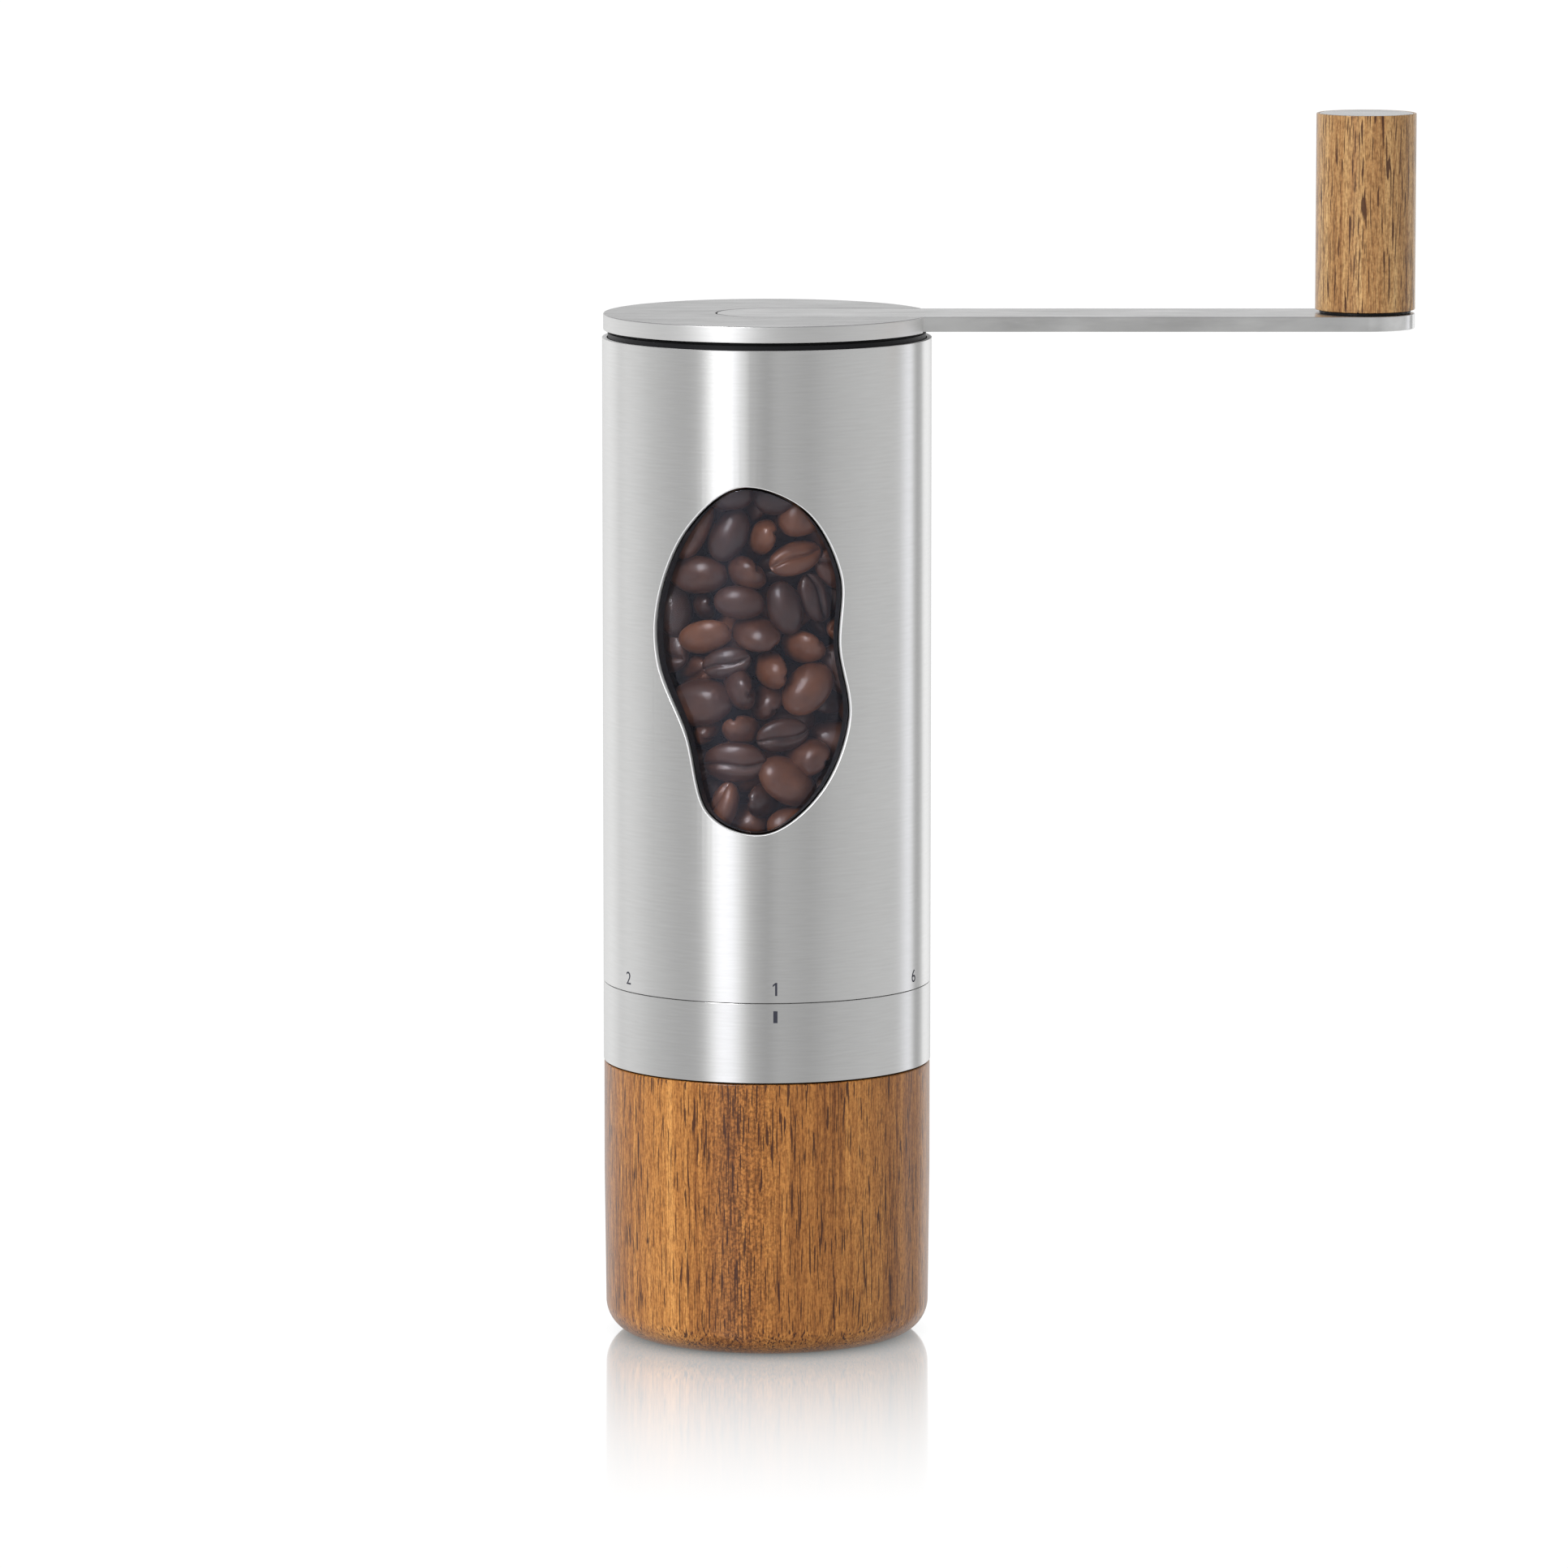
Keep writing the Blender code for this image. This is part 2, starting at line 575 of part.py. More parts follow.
def make_spring(looks, parent):
    """The coil that keeps the shaft down on its bearing."""
    low = NUT_TOP + SEAT + SPRING_WIRE_R
    high = SPIDER_BOTTOM - SEAT - SPRING_WIRE_R
    radius = SHAFT_R + SEAT + 2 * SPRING_WIRE_R
    per_turn = 12
    count = int(SPRING_TURNS * per_turn)
    curve = bpy.data.curves.new("shaft_spring", "CURVE")
    curve.dimensions = "3D"
    curve.bevel_depth = SPRING_WIRE_R
    curve.bevel_resolution = 0
    curve.use_fill_caps = True
    spline = curve.splines.new("POLY")
    spline.points.add(count)
    for i in range(count + 1):
        x, y = around(radius, math.tau * i / per_turn)
        spline.points[i].co = (x, y, low + (high - low) * i / count, 1.0)
    curve.materials.append(looks["bright"])
    spring = bpy.data.objects.new("shaft_spring", curve)
    spring.parent = parent
    bpy.context.scene.collection.objects.link(spring)


# --- Adjuster ---------------------------------------------------------------------------


def make_adjuster(looks, parent):
    turned("adjust_ring", tube_profile(RING_IN, BODY_R, RING_BOTTOM, RING_TOP), looks["steel"], parent)
    top = RING_TOP - SEAT
    profile = [
        (COLLAR_IN, COLLAR_BOTTOM),
        (COLLAR_OUT, COLLAR_BOTTOM),
        (COLLAR_OUT, top),
        (COLLAR_IN, top),
        (COLLAR_IN, GROOVE_TOP),
        (GROOVE_R, GROOVE_TOP),
        (GROOVE_R, GROOVE_BOTTOM),
        (COLLAR_IN, GROOVE_BOTTOM),
    ]
    turned("adjust_collar", profile, looks["black"], parent)


def make_bridge(looks, parent):
    """Three spokes whose ends ride in the collar's groove, round the shaft's lower bearing."""
    boss = rod(BOSS_R, BRIDGE_BOSS_BOTTOM, BRIDGE_TOP, SMALL)
    bridge = put("bearing_bridge", boss, looks["bright"], parent)
    spokes = []
    for angle in THIRDS:
        low, high = (0, -BRIDGE_SPOKE / 2, BRIDGE_BOTTOM), (LUG_R, BRIDGE_SPOKE / 2, BRIDGE_TOP - 0.1 * MM)
        spokes.append(block(low, high, angle))
    shape_with(bridge, "UNION", spokes)
    low, high = BRIDGE_BOSS_BOTTOM - OVERCUT, BRIDGE_TOP + OVERCUT
    shape_with(bridge, "DIFFERENCE", [rod(BOSS_BORE, low, high, SMALL)])
    bush = tube_profile(BUSH_IN, BUSH_OUT, BRIDGE_BOSS_BOTTOM, BRIDGE_TOP)
    turned("lower_bush", bush, looks["bronze"], parent, SMALL)


# --- Shaft ------------------------------------------------------------------------------


def make_shaft(looks, parent):
    groove_r = SHAFT_R - 0.6 * MM
    round_top = SHAFT_TOP - SQUARE_LENGTH
    profile = [
        (0, SHAFT_BOTTOM),
        (SHAFT_R - EDGE_BREAK, SHAFT_BOTTOM),
        (SHAFT_R, SHAFT_BOTTOM + EDGE_BREAK),
        (SHAFT_R, CLIP_TOP - CLIP_THICKNESS - RUN),
        (groove_r, CLIP_TOP - CLIP_THICKNESS - RUN),
        (groove_r, CLIP_TOP + RUN),
        (SHAFT_R, CLIP_TOP + RUN),
        (SHAFT_R, round_top),
        (0, round_top),
    ]
    shaft = turned("drive_shaft", profile, looks["bright"], parent, SMALL)
    corner = SQUARE_HALF * math.sqrt(2)
    square = rod(corner, round_top - OVERCUT, SHAFT_TOP, 4)
    bmesh.ops.rotate(square, verts=square.verts, matrix=Matrix.Rotation(math.pi / 4, 3, "Z"))
    shape_with(shaft, "UNION", [square])
    clip = tube_profile(groove_r + RUN, SHAFT_R + 1.8 * MM, CLIP_TOP - CLIP_THICKNESS, CLIP_TOP)
    turned("shaft_clip", clip, looks["bright"], parent, SMALL)
    washer = tube_profile(SHAFT_R + RUN, BOSS_R + 0.5 * MM, WASHER_BOTTOM, WASHER_TOP)
    turned("thrust_washer", washer, looks["bronze"], parent, SMALL)
    driver_r = BOSS_R + 1.4 * MM
    driver = tube_profile(SHAFT_R + RUN, driver_r, DRIVER_BOTTOM, DRIVER_TOP)
    turned("burr_driver", driver, looks["bright"], parent, SMALL)
    slope = BURR_CONE_DROP / BURR_WAIST_RISE
    edge = BURR_R - BURR_WALL - GRIND_GAP
    knee = BURR_BOTTOM + 6.6 * MM
    cone = [
        (BURR_BORE, DRIVER_TOP + SEAT),
        (driver_r + SEAT, DRIVER_TOP + SEAT),
        (driver_r + SEAT, INNER_BURR_BOTTOM),
        (edge + slope * (BURR_BOTTOM - INNER_BURR_BOTTOM), INNER_BURR_BOTTOM),
        (edge - slope * (knee - BURR_BOTTOM), knee),
        (INNER_BURR_TOP_R, INNER_BURR_TOP),
        (BURR_BORE, INNER_BURR_TOP),
    ]
    turned("inner_burr", cone, looks["ceramic"], parent, MEDIUM)
    nut_r = SHAFT_R + 2.4 * MM
    nut = put("burr_nut", rod(nut_r, NUT_BOTTOM, NUT_TOP, 6), looks["bright"], parent)
    low, high, bore = NUT_BOTTOM - OVERCUT, NUT_TOP + OVERCUT, SHAFT_R + RUN
    shape_with(nut, "DIFFERENCE", [rod(bore, low, high, SMALL)])


# --- Lid and crank ----------------------------------------------------------------------


def make_lid(looks, parent):
    seal_low = SKIRT_BOTTOM + 1.5 * MM
    boss_bottom = HUB_BOTTOM + 2.6 * MM
    boss_r = LID_BORE + 1.5 * MM
    under = RECESS_FLOOR - LID_PLATE
    profile = [(LID_BORE, boss_bottom), (boss_r, boss_bottom), (boss_r, under)]
    profile += [(LID_RECESS_R + LID_PLATE, under), (LID_RECESS_R + LID_PLATE, LID_UNDER)]
    profile += [(SKIRT_R - LID_SKIRT_WALL, LID_UNDER), (SKIRT_R - LID_SKIRT_WALL, SKIRT_BOTTOM)]
    profile += [(SKIRT_R, SKIRT_BOTTOM)] + seal_groove(SKIRT_R, seal_low)
    profile += [(SKIRT_R, LID_UNDER), (LID_FLANGE_R, LID_UNDER), (LID_FLANGE_R, LID_TOP)]
    profile += [(LID_RECESS_R, LID_TOP), (LID_RECESS_R, RECESS_FLOOR), (LID_BORE, RECESS_FLOOR)]
    turned("lid_cover", profile, looks["black"], parent)
    turned("lid_seal", seal_profile(SKIRT_R, seal_low, RUN), looks["rubber"], parent)
    bush = tube_profile(LID_BUSH_IN, LID_BUSH_OUT, boss_bottom, RECESS_FLOOR - SEAT)
    turned("lid_bush", bush, looks["bronze"], parent, MEDIUM)


def hub_screw_places():
    """Two screws into the disc, beside the arm, and two into the arm."""
    return [around(HUB_CIRCLE, math.radians(a)) for a in (90, 270, 22, -22)]


def screw_holes(low, places, top):
    radius = SCREW_R + RUN
    return [moved(rod(radius, low, top, TINY), x, y) for x, y in places]


def make_crank(looks, parent):
    places = hub_screw_places()
    screw_seat = HUB_UNDER + 0.1 * MM + SCREW_HEAD
    hole_top = DISC_TOP - 0.8 * MM
    rim = BODY_R - DISC_INSET
    disc_profile = [
        (0, DISC_BOTTOM),
        (rim - EDGE_BREAK, DISC_BOTTOM),
        (rim, DISC_BOTTOM + EDGE_BREAK),
        (rim, DISC_TOP - EDGE_BREAK),
        (rim - EDGE_BREAK, DISC_TOP),
        (0, DISC_TOP),
    ]
    disc = turned("crank_disc", disc_profile, looks["steel"], parent)
    slot = slotted_plate(2 * BODY_R, ARM_WIDTH + 2 * INLAY_GAP, DISC_BOTTOM - OVERCUT, DISC_TOP + OVERCUT)
    shape_with(disc, "DIFFERENCE", [slot] + screw_holes(DISC_BOTTOM - OVERCUT, places[:2], hole_top))

    arm = put("crank_arm", slotted_plate(ARM_REACH, ARM_WIDTH, ARM_BOTTOM, DISC_TOP), looks["steel"], parent)
    pin_hole = spun(tube_profile(0, PIN_R - 0.45 * MM, ARM_BOTTOM - OVERCUT, DISC_TOP + OVERCUT), SMALL)
    holes = screw_holes(ARM_BOTTOM - OVERCUT, places[2:], hole_top)
    shape_with(arm, "DIFFERENCE", holes + [moved(pin_hole, ARM_REACH)])

    groove_r = HUB_STEM_R - 0.6 * MM
    groove_low, groove_high = HUB_BOTTOM + 1.1 * MM, HUB_BOTTOM + 2.3 * MM
    hub_profile = [
        (0, HUB_BOTTOM),
        (HUB_STEM_R, HUB_BOTTOM),
        (HUB_STEM_R, groove_low),
        (groove_r, groove_low),
        (groove_r, groove_high),
        (HUB_STEM_R, groove_high),
        (HUB_STEM_R, HUB_UNDER),
        (HUB_FLANGE_R, HUB_UNDER),
        (HUB_FLANGE_R, HUB_TOP),
        (0, HUB_TOP),
    ]
    hub = turned("crank_hub", hub_profile, looks["black"], parent, MEDIUM)
    half = SQUARE_HALF + PRESS
    cuts = [block((-half, -half, HUB_BOTTOM - OVERCUT), (half, half, SOCKET_TOP))]
    cuts += screw_holes(HUB_UNDER - OVERCUT, places, HUB_TOP + OVERCUT)
    bore = SCREW_HEAD_R + PRESS
    for x, y in places:
        low, high = HUB_UNDER - OVERCUT, screw_seat + SEAT
        cuts.append(moved(rod(bore, low, high, TINY), x, y))
    shape_with(hub, "DIFFERENCE", cuts)
    clip = tube_profile(groove_r + RUN, LID_BUSH_OUT + 0.9 * MM, groove_low + RUN, groove_high - RUN)
    turned("hub_clip", clip, looks["bright"], parent, MEDIUM)
    for i, place in enumerate(places):
        make_screw(f"hub_screw_{i + 1}", place, screw_seat, looks, parent, hole_top - SEAT - screw_seat)


def make_knob_pin(looks, parent):
    """The pin is riveted in the arm, and its head holds the knob on."""
    rivet = PIN_R - 0.6 * MM
    shoulder = DISC_TOP + RUN
    profile = [
        (0, ARM_BOTTOM + 0.1 * MM),
        (rivet, ARM_BOTTOM + 0.1 * MM),
        (rivet, shoulder),
        (PIN_R, shoulder),
        (PIN_R, PIN_HEAD_UNDER),
        (PIN_HEAD_R, PIN_HEAD_UNDER),
        (PIN_HEAD_R, PIN_HEAD_TOP),
        (0, PIN_HEAD_TOP),
    ]
    put("knob_pin", moved(spun(profile, SMALL), ARM_REACH), looks["bright"], parent)
    washer = tube_profile(PIN_R + RUN, KNOB_R - 0.7 * MM, DISC_TOP + RUN, KNOB_BOTTOM - RUN)
    put("knob_washer", moved(spun(washer, MEDIUM), ARM_REACH), looks["black"], parent)


def make_knob(looks, parent):
    recess = PIN_HEAD_R + 0.5 * MM
    recess_floor = PIN_HEAD_UNDER - SEAT
    foot = 0.4 * MM
    grip = [
        (KNOB_BORE, KNOB_BOTTOM),
        (KNOB_R - foot, KNOB_BOTTOM),
        (KNOB_R, KNOB_BOTTOM + foot),
        (KNOB_R, KNOB_TOP),
        (KNOB_R - KNOB_RIM, KNOB_TOP),
        (KNOB_R - KNOB_RIM, KNOB_LEDGE),
        (recess, KNOB_LEDGE),
        (recess, recess_floor),
        (KNOB_BORE, recess_floor),
    ]
    turned("knob_grip", grip, looks["knob_wood"], parent, MEDIUM)
    sleeve = tube_profile(KNOB_SLEEVE_IN, KNOB_SLEEVE_OUT, KNOB_BOTTOM + SEAT, recess_floor)
    turned("knob_sleeve", sleeve, looks["bronze"], parent, SMALL)
    cap_low = KNOB_TOP - KNOB_CAP
    plug = recess - SEAT
    cap = [
        (0, cap_low - 0.5 * MM),
        (plug, cap_low - 0.5 * MM),
        (plug, cap_low),
        (KNOB_CAP_R, cap_low),
        (KNOB_CAP_R, KNOB_TOP),
        (0, KNOB_TOP),
    ]
    turned("knob_cap", cap, looks["steel"], parent, MEDIUM)


# --- Assembly ---------------------------------------------------------------------------


def build():
    clear_scene()
    looks = make_finishes()
    cup = axis("cup_axis")
    mill = axis("mill_body_axis", cup)
    adjuster = axis("adjuster_axis", mill)
    bridge = axis("bridge_axis", mill)
    shaft = axis("shaft_axis", bridge)
    lid = axis("lid_axis", mill)
    crank = axis("crank_axis", lid)
    knob = axis("knob_axis", crank, ARM_REACH)

    make_cup(looks, cup)
    make_tube(looks, mill)
    make_housing(looks, mill)
    make_outer_burr(looks, mill)
    make_spring(looks, mill)
    make_adjuster(looks, adjuster)
    make_bridge(looks, bridge)
    make_shaft(looks, shaft)
    make_lid(looks, lid)
    make_crank(looks, crank)
    make_knob_pin(looks, crank)
    make_knob(looks, knob)


build()
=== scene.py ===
# %% [markdown]
# # A hand crank coffee grinder
# The mill is a slim steel tube on a wooden cup. Its body shows coffee beans through a clear
# window with a freeform outline, and a flat steel crank with a wooden knob turns the burrs.
# The CAD frame gives every size and every joint, so this script only makes surfaces: it
# builds a fine mesh for each piece and a material with real detail for each finish.

# %% Load the frame
import json
import math

import bmesh
import bpy
import numpy as np
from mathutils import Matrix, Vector


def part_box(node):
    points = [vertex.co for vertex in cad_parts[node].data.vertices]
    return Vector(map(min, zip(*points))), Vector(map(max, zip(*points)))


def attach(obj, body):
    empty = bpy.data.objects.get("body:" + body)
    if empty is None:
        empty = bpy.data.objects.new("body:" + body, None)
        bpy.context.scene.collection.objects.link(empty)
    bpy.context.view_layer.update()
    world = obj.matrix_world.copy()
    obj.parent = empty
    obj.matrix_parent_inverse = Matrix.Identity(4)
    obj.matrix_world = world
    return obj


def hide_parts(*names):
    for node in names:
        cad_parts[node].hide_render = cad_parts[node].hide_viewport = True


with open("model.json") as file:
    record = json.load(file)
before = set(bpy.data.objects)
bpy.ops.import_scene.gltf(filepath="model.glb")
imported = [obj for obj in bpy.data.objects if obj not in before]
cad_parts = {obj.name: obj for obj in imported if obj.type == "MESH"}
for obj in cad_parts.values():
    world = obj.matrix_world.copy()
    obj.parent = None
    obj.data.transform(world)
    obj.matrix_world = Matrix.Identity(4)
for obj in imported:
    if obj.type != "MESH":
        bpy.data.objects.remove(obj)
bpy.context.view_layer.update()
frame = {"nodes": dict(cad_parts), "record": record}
MM = 0.001

# %% [markdown]
# ## Sizes from the frame
# A piece that is read from the frame can't drift away from it. Each box gives the lowest and
# highest corner of one CAD solid, which for a turned piece is its radius and its two heights.

# %% Read radii and heights
def span(node):
    """(radius, lowest height, highest height) of a turned CAD piece."""
    low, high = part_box(node)
    return (high.x - low.x) / 2, low.z, high.z


BODY_R, TUBE_LOW, TUBE_HIGH = span("body_tube")
_, RING_LOW, RING_HIGH = span("adjust_ring")
CUP_R, _, CUP_HIGH = span("wood_cup")
SLEEVE_R, SLEEVE_LOW, SLEEVE_HIGH = span("hopper_sleeve")
_, DISC_LOW, DISC_HIGH = span("crank_disc")
DISC_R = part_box("crank_disc")[1].y
ARM_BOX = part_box("crank_arm")
ARM_HALF = ARM_BOX[1].y
ARM_REACH = ARM_BOX[1].x - ARM_HALF
KNOB_R, KNOB_LOW, KNOB_WOOD_HIGH = span("knob_grip")
CAP_R, CAP_LOW, CAP_HIGH = span("knob_cap")
LENS_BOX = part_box("window_lens")
LENS_R = -LENS_BOX[0].y
PRINT = 0.015 * MM  # the steel is drawn this much smaller, to leave room for what is printed on it
print(f"tube {BODY_R * 2000:.1f} mm across, crank {ARM_REACH * 1000:.1f} mm")

# %% [markdown]
# ## Camera
# A long lens from 1.6 m keeps the tube's sides almost parallel, which is how small products
# are usually shown. It looks slightly down, so that the round top of the mill opens into a
# narrow ellipse. A shorter lens from nearer by would make the mill taper.

# %% Place the camera
FOCAL = 221.1
DOWN = math.radians(7.78)
DISTANCE = 1.616
AIM = Vector((2.86 * MM, 0, 92.9 * MM))

camera = bpy.data.objects.new("camera", bpy.data.cameras.new("camera"))
camera.data.lens = FOCAL
camera.data.sensor_width = 36
camera.data.clip_start = 0.05
camera.location = AIM + DISTANCE * Vector((0, -math.cos(DOWN), math.sin(DOWN)))
camera.rotation_euler = (math.pi / 2 - DOWN, 0, 0)
bpy.context.scene.collection.objects.link(camera)
bpy.context.scene.camera = camera
bpy.context.scene.view_settings.view_transform = "Standard"
print("camera at", [round(v, 3) for v in camera.location])

# %% [markdown]
# ## Helpers for meshes
# Nearly every piece here is turned, so the main tool is a lathe: a profile of radius and
# height is carried round the axis in many steps. Sharp corners look false on metal and wood,
# because every real edge catches a thin line of light, so a second helper rounds corners.

# %% Turn a profile
LOOK_STEPS = 192
SOFT_UNDER = math.radians(35)  # edges that turn by more than this stay crisp
ON_AXIS = 1e-7


def add_piece(name, bm, body, material):
    """Makes the object, lets it ride on its body and shades it. The large faces decide the
    shading of the points they share with thin ones, so a flat top stays flat to its edge."""
    bmesh.ops.recalc_face_normals(bm, faces=bm.faces)
    mesh = bpy.data.meshes.new(name)
    bm.to_mesh(mesh)
    bm.free()
    mesh.shade_smooth()
    mesh.set_sharp_from_angle(angle=SOFT_UNDER)
    mesh.materials.append(material)
    piece = bpy.data.objects.new(name, mesh)
    bpy.context.scene.collection.objects.link(piece)
    even = piece.modifiers.new("even shading", "WEIGHTED_NORMAL")
    even.keep_sharp = True
    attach(piece, body)
    return piece


def goes_round(profile):
    """True for a section that closes on itself, as a ring's does, and never meets the axis."""
    return profile[0][0] > ON_AXIS or profile[-1][0] > ON_AXIS


def lathe(profile, x=0.0):
    """Turns the profile about the upright axis through x. A point on the axis stays one point."""
    bm = bmesh.new()
    rings = []
    for r, z in profile:
        if r < ON_AXIS:
            rings.append([bm.verts.new((x, 0, z))])
            continue
        ring = []
        for i in range(LOOK_STEPS):
            a = math.tau * i / LOOK_STEPS
            ring.append(bm.verts.new((x + r * math.cos(a), r * math.sin(a), z)))
        rings.append(ring)
    pairs = list(zip(rings, rings[1:]))
    if goes_round(profile):
        pairs.append((rings[-1], rings[0]))
    for a, b in pairs:
        for i in range(LOOK_STEPS):
            j = (i + 1) % LOOK_STEPS
            corners = [a[i % len(a)], a[j % len(a)], b[j % len(b)], b[i % len(b)]]
            bm.faces.new(list(dict.fromkeys(corners)))
    return bm


ARC_PARTS = 3
NEARLY_STRAIGHT = math.radians(165)


def rounded(profile, radius):
    """The profile with a small arc at each corner, never longer than a third of a side."""
    closed = goes_round(profile)
    points = [Vector(p) for p in profile]
    made = []
    for i, p in enumerate(points):
        if not closed and i in (0, len(points) - 1):
            made.append(p)
            continue
        before, after = points[i - 1] - p, points[(i + 1) % len(points)] - p
        if before.angle(after) > NEARLY_STRAIGHT:
            made.append(p)
            continue
        reach = min(radius, before.length / 3, after.length / 3)
        a, b = p + before.normalized() * reach, p + after.normalized() * reach
        for k in range(ARC_PARTS + 1):
            t = k / ARC_PARTS
            made.append(a * (1 - t) ** 2 + p * 2 * t * (1 - t) + b * t * t)
    return [tuple(p) for p in made]


def ring_profile(inner, outer, low, high):
    return [(inner, low), (outer, low), (outer, high), (inner, high)]


print("lathe ready,", LOOK_STEPS, "steps round")

# %% [markdown]
# ## Helpers for materials
# A material is a small network. These helpers make one with its Principled shader, add a
# node with its settings in one call, and join sockets. Every finish below reads the piece's
# own coordinates, so that its grain stays on the piece when the piece moves.

# %% Start a material
def put(tree, socket, value):
    """Joins a socket to a socket, or sets its value."""
    if isinstance(value, bpy.types.NodeSocket):
        tree.links.new(value, socket)
    else:
        socket.default_value = value


def add_node(tree, kind, inputs=None, **settings):
    made = tree.nodes.new(kind)
    for key, value in settings.items():
        setattr(made, key, value)
    for key, value in (inputs or {}).items():
        put(tree, made.inputs[key], value)
    return made


class Finish:
    def __init__(self, name, colour, roughness, metallic=0.0):
        self.made = bpy.data.materials.new(name)
        self.made.use_nodes = True
        self.tree = self.made.node_tree
        self.shader = self.tree.nodes["Principled BSDF"]
        self.shader.inputs["Base Color"].default_value = (*colour, 1)
        self.shader.inputs["Roughness"].default_value = roughness
        self.shader.inputs["Metallic"].default_value = metallic
        self.place = self.node("ShaderNodeTexCoord").outputs["Object"]

    def node(self, kind, inputs=None, **settings):
        return add_node(self.tree, kind, inputs, **settings)

    def put(self, socket, value):
        put(self.tree, socket, value)

    def calc(self, operation, a, b=0.0, clamp=False):
        inputs = {0: a, 1: b}
        return self.node("ShaderNodeMath", inputs, operation=operation, use_clamp=clamp).outputs[0]

    def vector(self, operation, inputs):
        return self.node("ShaderNodeVectorMath", inputs, operation=operation).outputs

    def scaled(self, vector, scale):
        return self.node("ShaderNodeMapping", {"Vector": vector, "Scale": scale}).outputs[0]

    def noise(self, vector, scale, detail=2.0, rough=0.5, warp=0.0):
        inputs = {"Vector": vector, "Scale": scale}
        inputs.update({"Detail": detail, "Roughness": rough, "Distortion": warp})
        return self.node("ShaderNodeTexNoise", inputs).outputs["Fac"]

    def ramp(self, value, stops):
        """Colours at places from 0 to 1."""
        ramp = self.node("ShaderNodeValToRGB", {"Fac": value})
        for extra in range(len(stops) - 2):
            ramp.color_ramp.elements.new(0.5)
        for element, (place, colour) in zip(ramp.color_ramp.elements, stops):
            element.position = place
            element.color = (*colour, 1) if isinstance(colour, tuple) else (colour,) * 3 + (1,)
        return ramp.outputs["Color"]

    def mix(self, amount, a, b, blend="MIX"):
        mixed = self.node("ShaderNodeMix", data_type="RGBA", blend_type=blend)
        for index, value in ((0, amount), (6, a), (7, b)):
            is_colour = isinstance(value, tuple) and len(value) == 3
            self.put(mixed.inputs[index], (*value, 1) if is_colour else value)
        return mixed.outputs[2]

    def between(self, value, low, high):
        inputs = {"Value": value, "To Min": low, "To Max": high}
        return self.node("ShaderNodeMapRange", inputs).outputs[0]

    def bump(self, height, depth):
        bumped = self.node("ShaderNodeBump", {"Height": height, "Distance": depth, "Strength": 1.0})
        self.put(self.shader.inputs["Normal"], bumped.outputs[0])

    def set(self, **values):
        """Sets the shader's inputs by name: coat_ior is its Coat IOR."""
        for key, value in values.items():
            label = key.replace("_", " ").title().replace("Ior", "IOR")
            self.put(self.shader.inputs[label], value)


print("material helper ready")

# %% [markdown]
# ## Brushed steel
# The tube was turned against an abrasive belt, so fine scratches run round it. They spread
# reflections up and down but hardly sideways, and the room shows as upright bands. An
# anisotropic shader does this spreading, with its direction taken round the axis, and a
# stretched noise adds the scratches themselves, in the roughness and as a very fine bump.

# %% Make the brushed steels
# How often the noise repeats: to the radian and to the metre of height on a turned piece, and
# to the metre on a flat one.
SCRATCH_ROUND, STREAK_ROUND = (14.0, 16000.0, 1.0), (5.0, 2600.0, 1.0)
SCRATCH_FLAT, STREAK_FLAT = (350.0, 16000.0, 16000.0), (60.0, 260.0, 260.0)
CLOUD = 90.0


def brushed_steel(name, along, tone=0.74, dull=0.0):
    """along is 'round' for a turned piece, or 'x' for a flat one brushed along the crank. tone
    is how bright the metal is, and dull is added to its roughness."""
    steel = Finish(name, (tone, tone, tone), 0.3, 1.0)
    x, y, z = steel.node("ShaderNodeSeparateXYZ", {"Vector": steel.place}).outputs
    if along == "round":
        angle = steel.calc("ARCTAN2", x, y)
        line = steel.node("ShaderNodeCombineXYZ", {"X": angle, "Y": z}).outputs[0]
        fine, coarse = steel.scaled(line, SCRATCH_ROUND), steel.scaled(line, STREAK_ROUND)
        scratch = steel.node("ShaderNodeTangent", direction_type="RADIAL", axis="Z").outputs[0]
    else:
        fine, coarse = steel.scaled(steel.place, SCRATCH_FLAT), steel.scaled(steel.place, STREAK_FLAT)
        turned = steel.node("ShaderNodeVectorTransform", {"Vector": (1, 0, 0)}, vector_type="VECTOR")
        turned.convert_from, turned.convert_to = "OBJECT", "WORLD"
        scratch = turned.outputs[0]
    normal = steel.node("ShaderNodeNewGeometry").outputs["Normal"]
    across = steel.vector("CROSS_PRODUCT", {0: normal, 1: scratch})[0]
    scratches = steel.noise(fine, 1.0, 3.0, 0.6)
    streaks = steel.noise(coarse, 1.0, 4.0, 0.6)
    cloud = steel.noise(steel.place, CLOUD, 3.0)
    patchy, spread = (0.25, 0.028) if along == "round" else (0.4, 0.15)
    both = steel.mix(patchy, streaks, cloud)
    low, high = tone - spread, tone + spread
    shade = steel.ramp(both, [(0.3, (low, low, low * 0.99)), (0.7, (high, high, high * 0.995))])
    roughness = steel.between(scratches, 0.20 + dull, 0.30 + dull)
    steel.set(base_color=shade, roughness=roughness, tangent=across)
    steel.set(anisotropic=0.3 if dull else 0.8)
    steel.bump(scratches, 0.0012 * MM)
    return steel.made


STEEL_ROUND = brushed_steel("steel_brushed_round", "round")
STEEL_RING = brushed_steel("steel_brushed_ring", "round", 0.70)
STEEL_FLAT = brushed_steel("steel_brushed_along", "x", 0.78)
STEEL_DISC = brushed_steel("steel_brushed_disc", "x", 0.65)
STEEL_SIDE = brushed_steel("steel_brushed_side", "round", 0.79, dull=0.16)
print("made five brushed steels, such as", STEEL_ROUND.name)

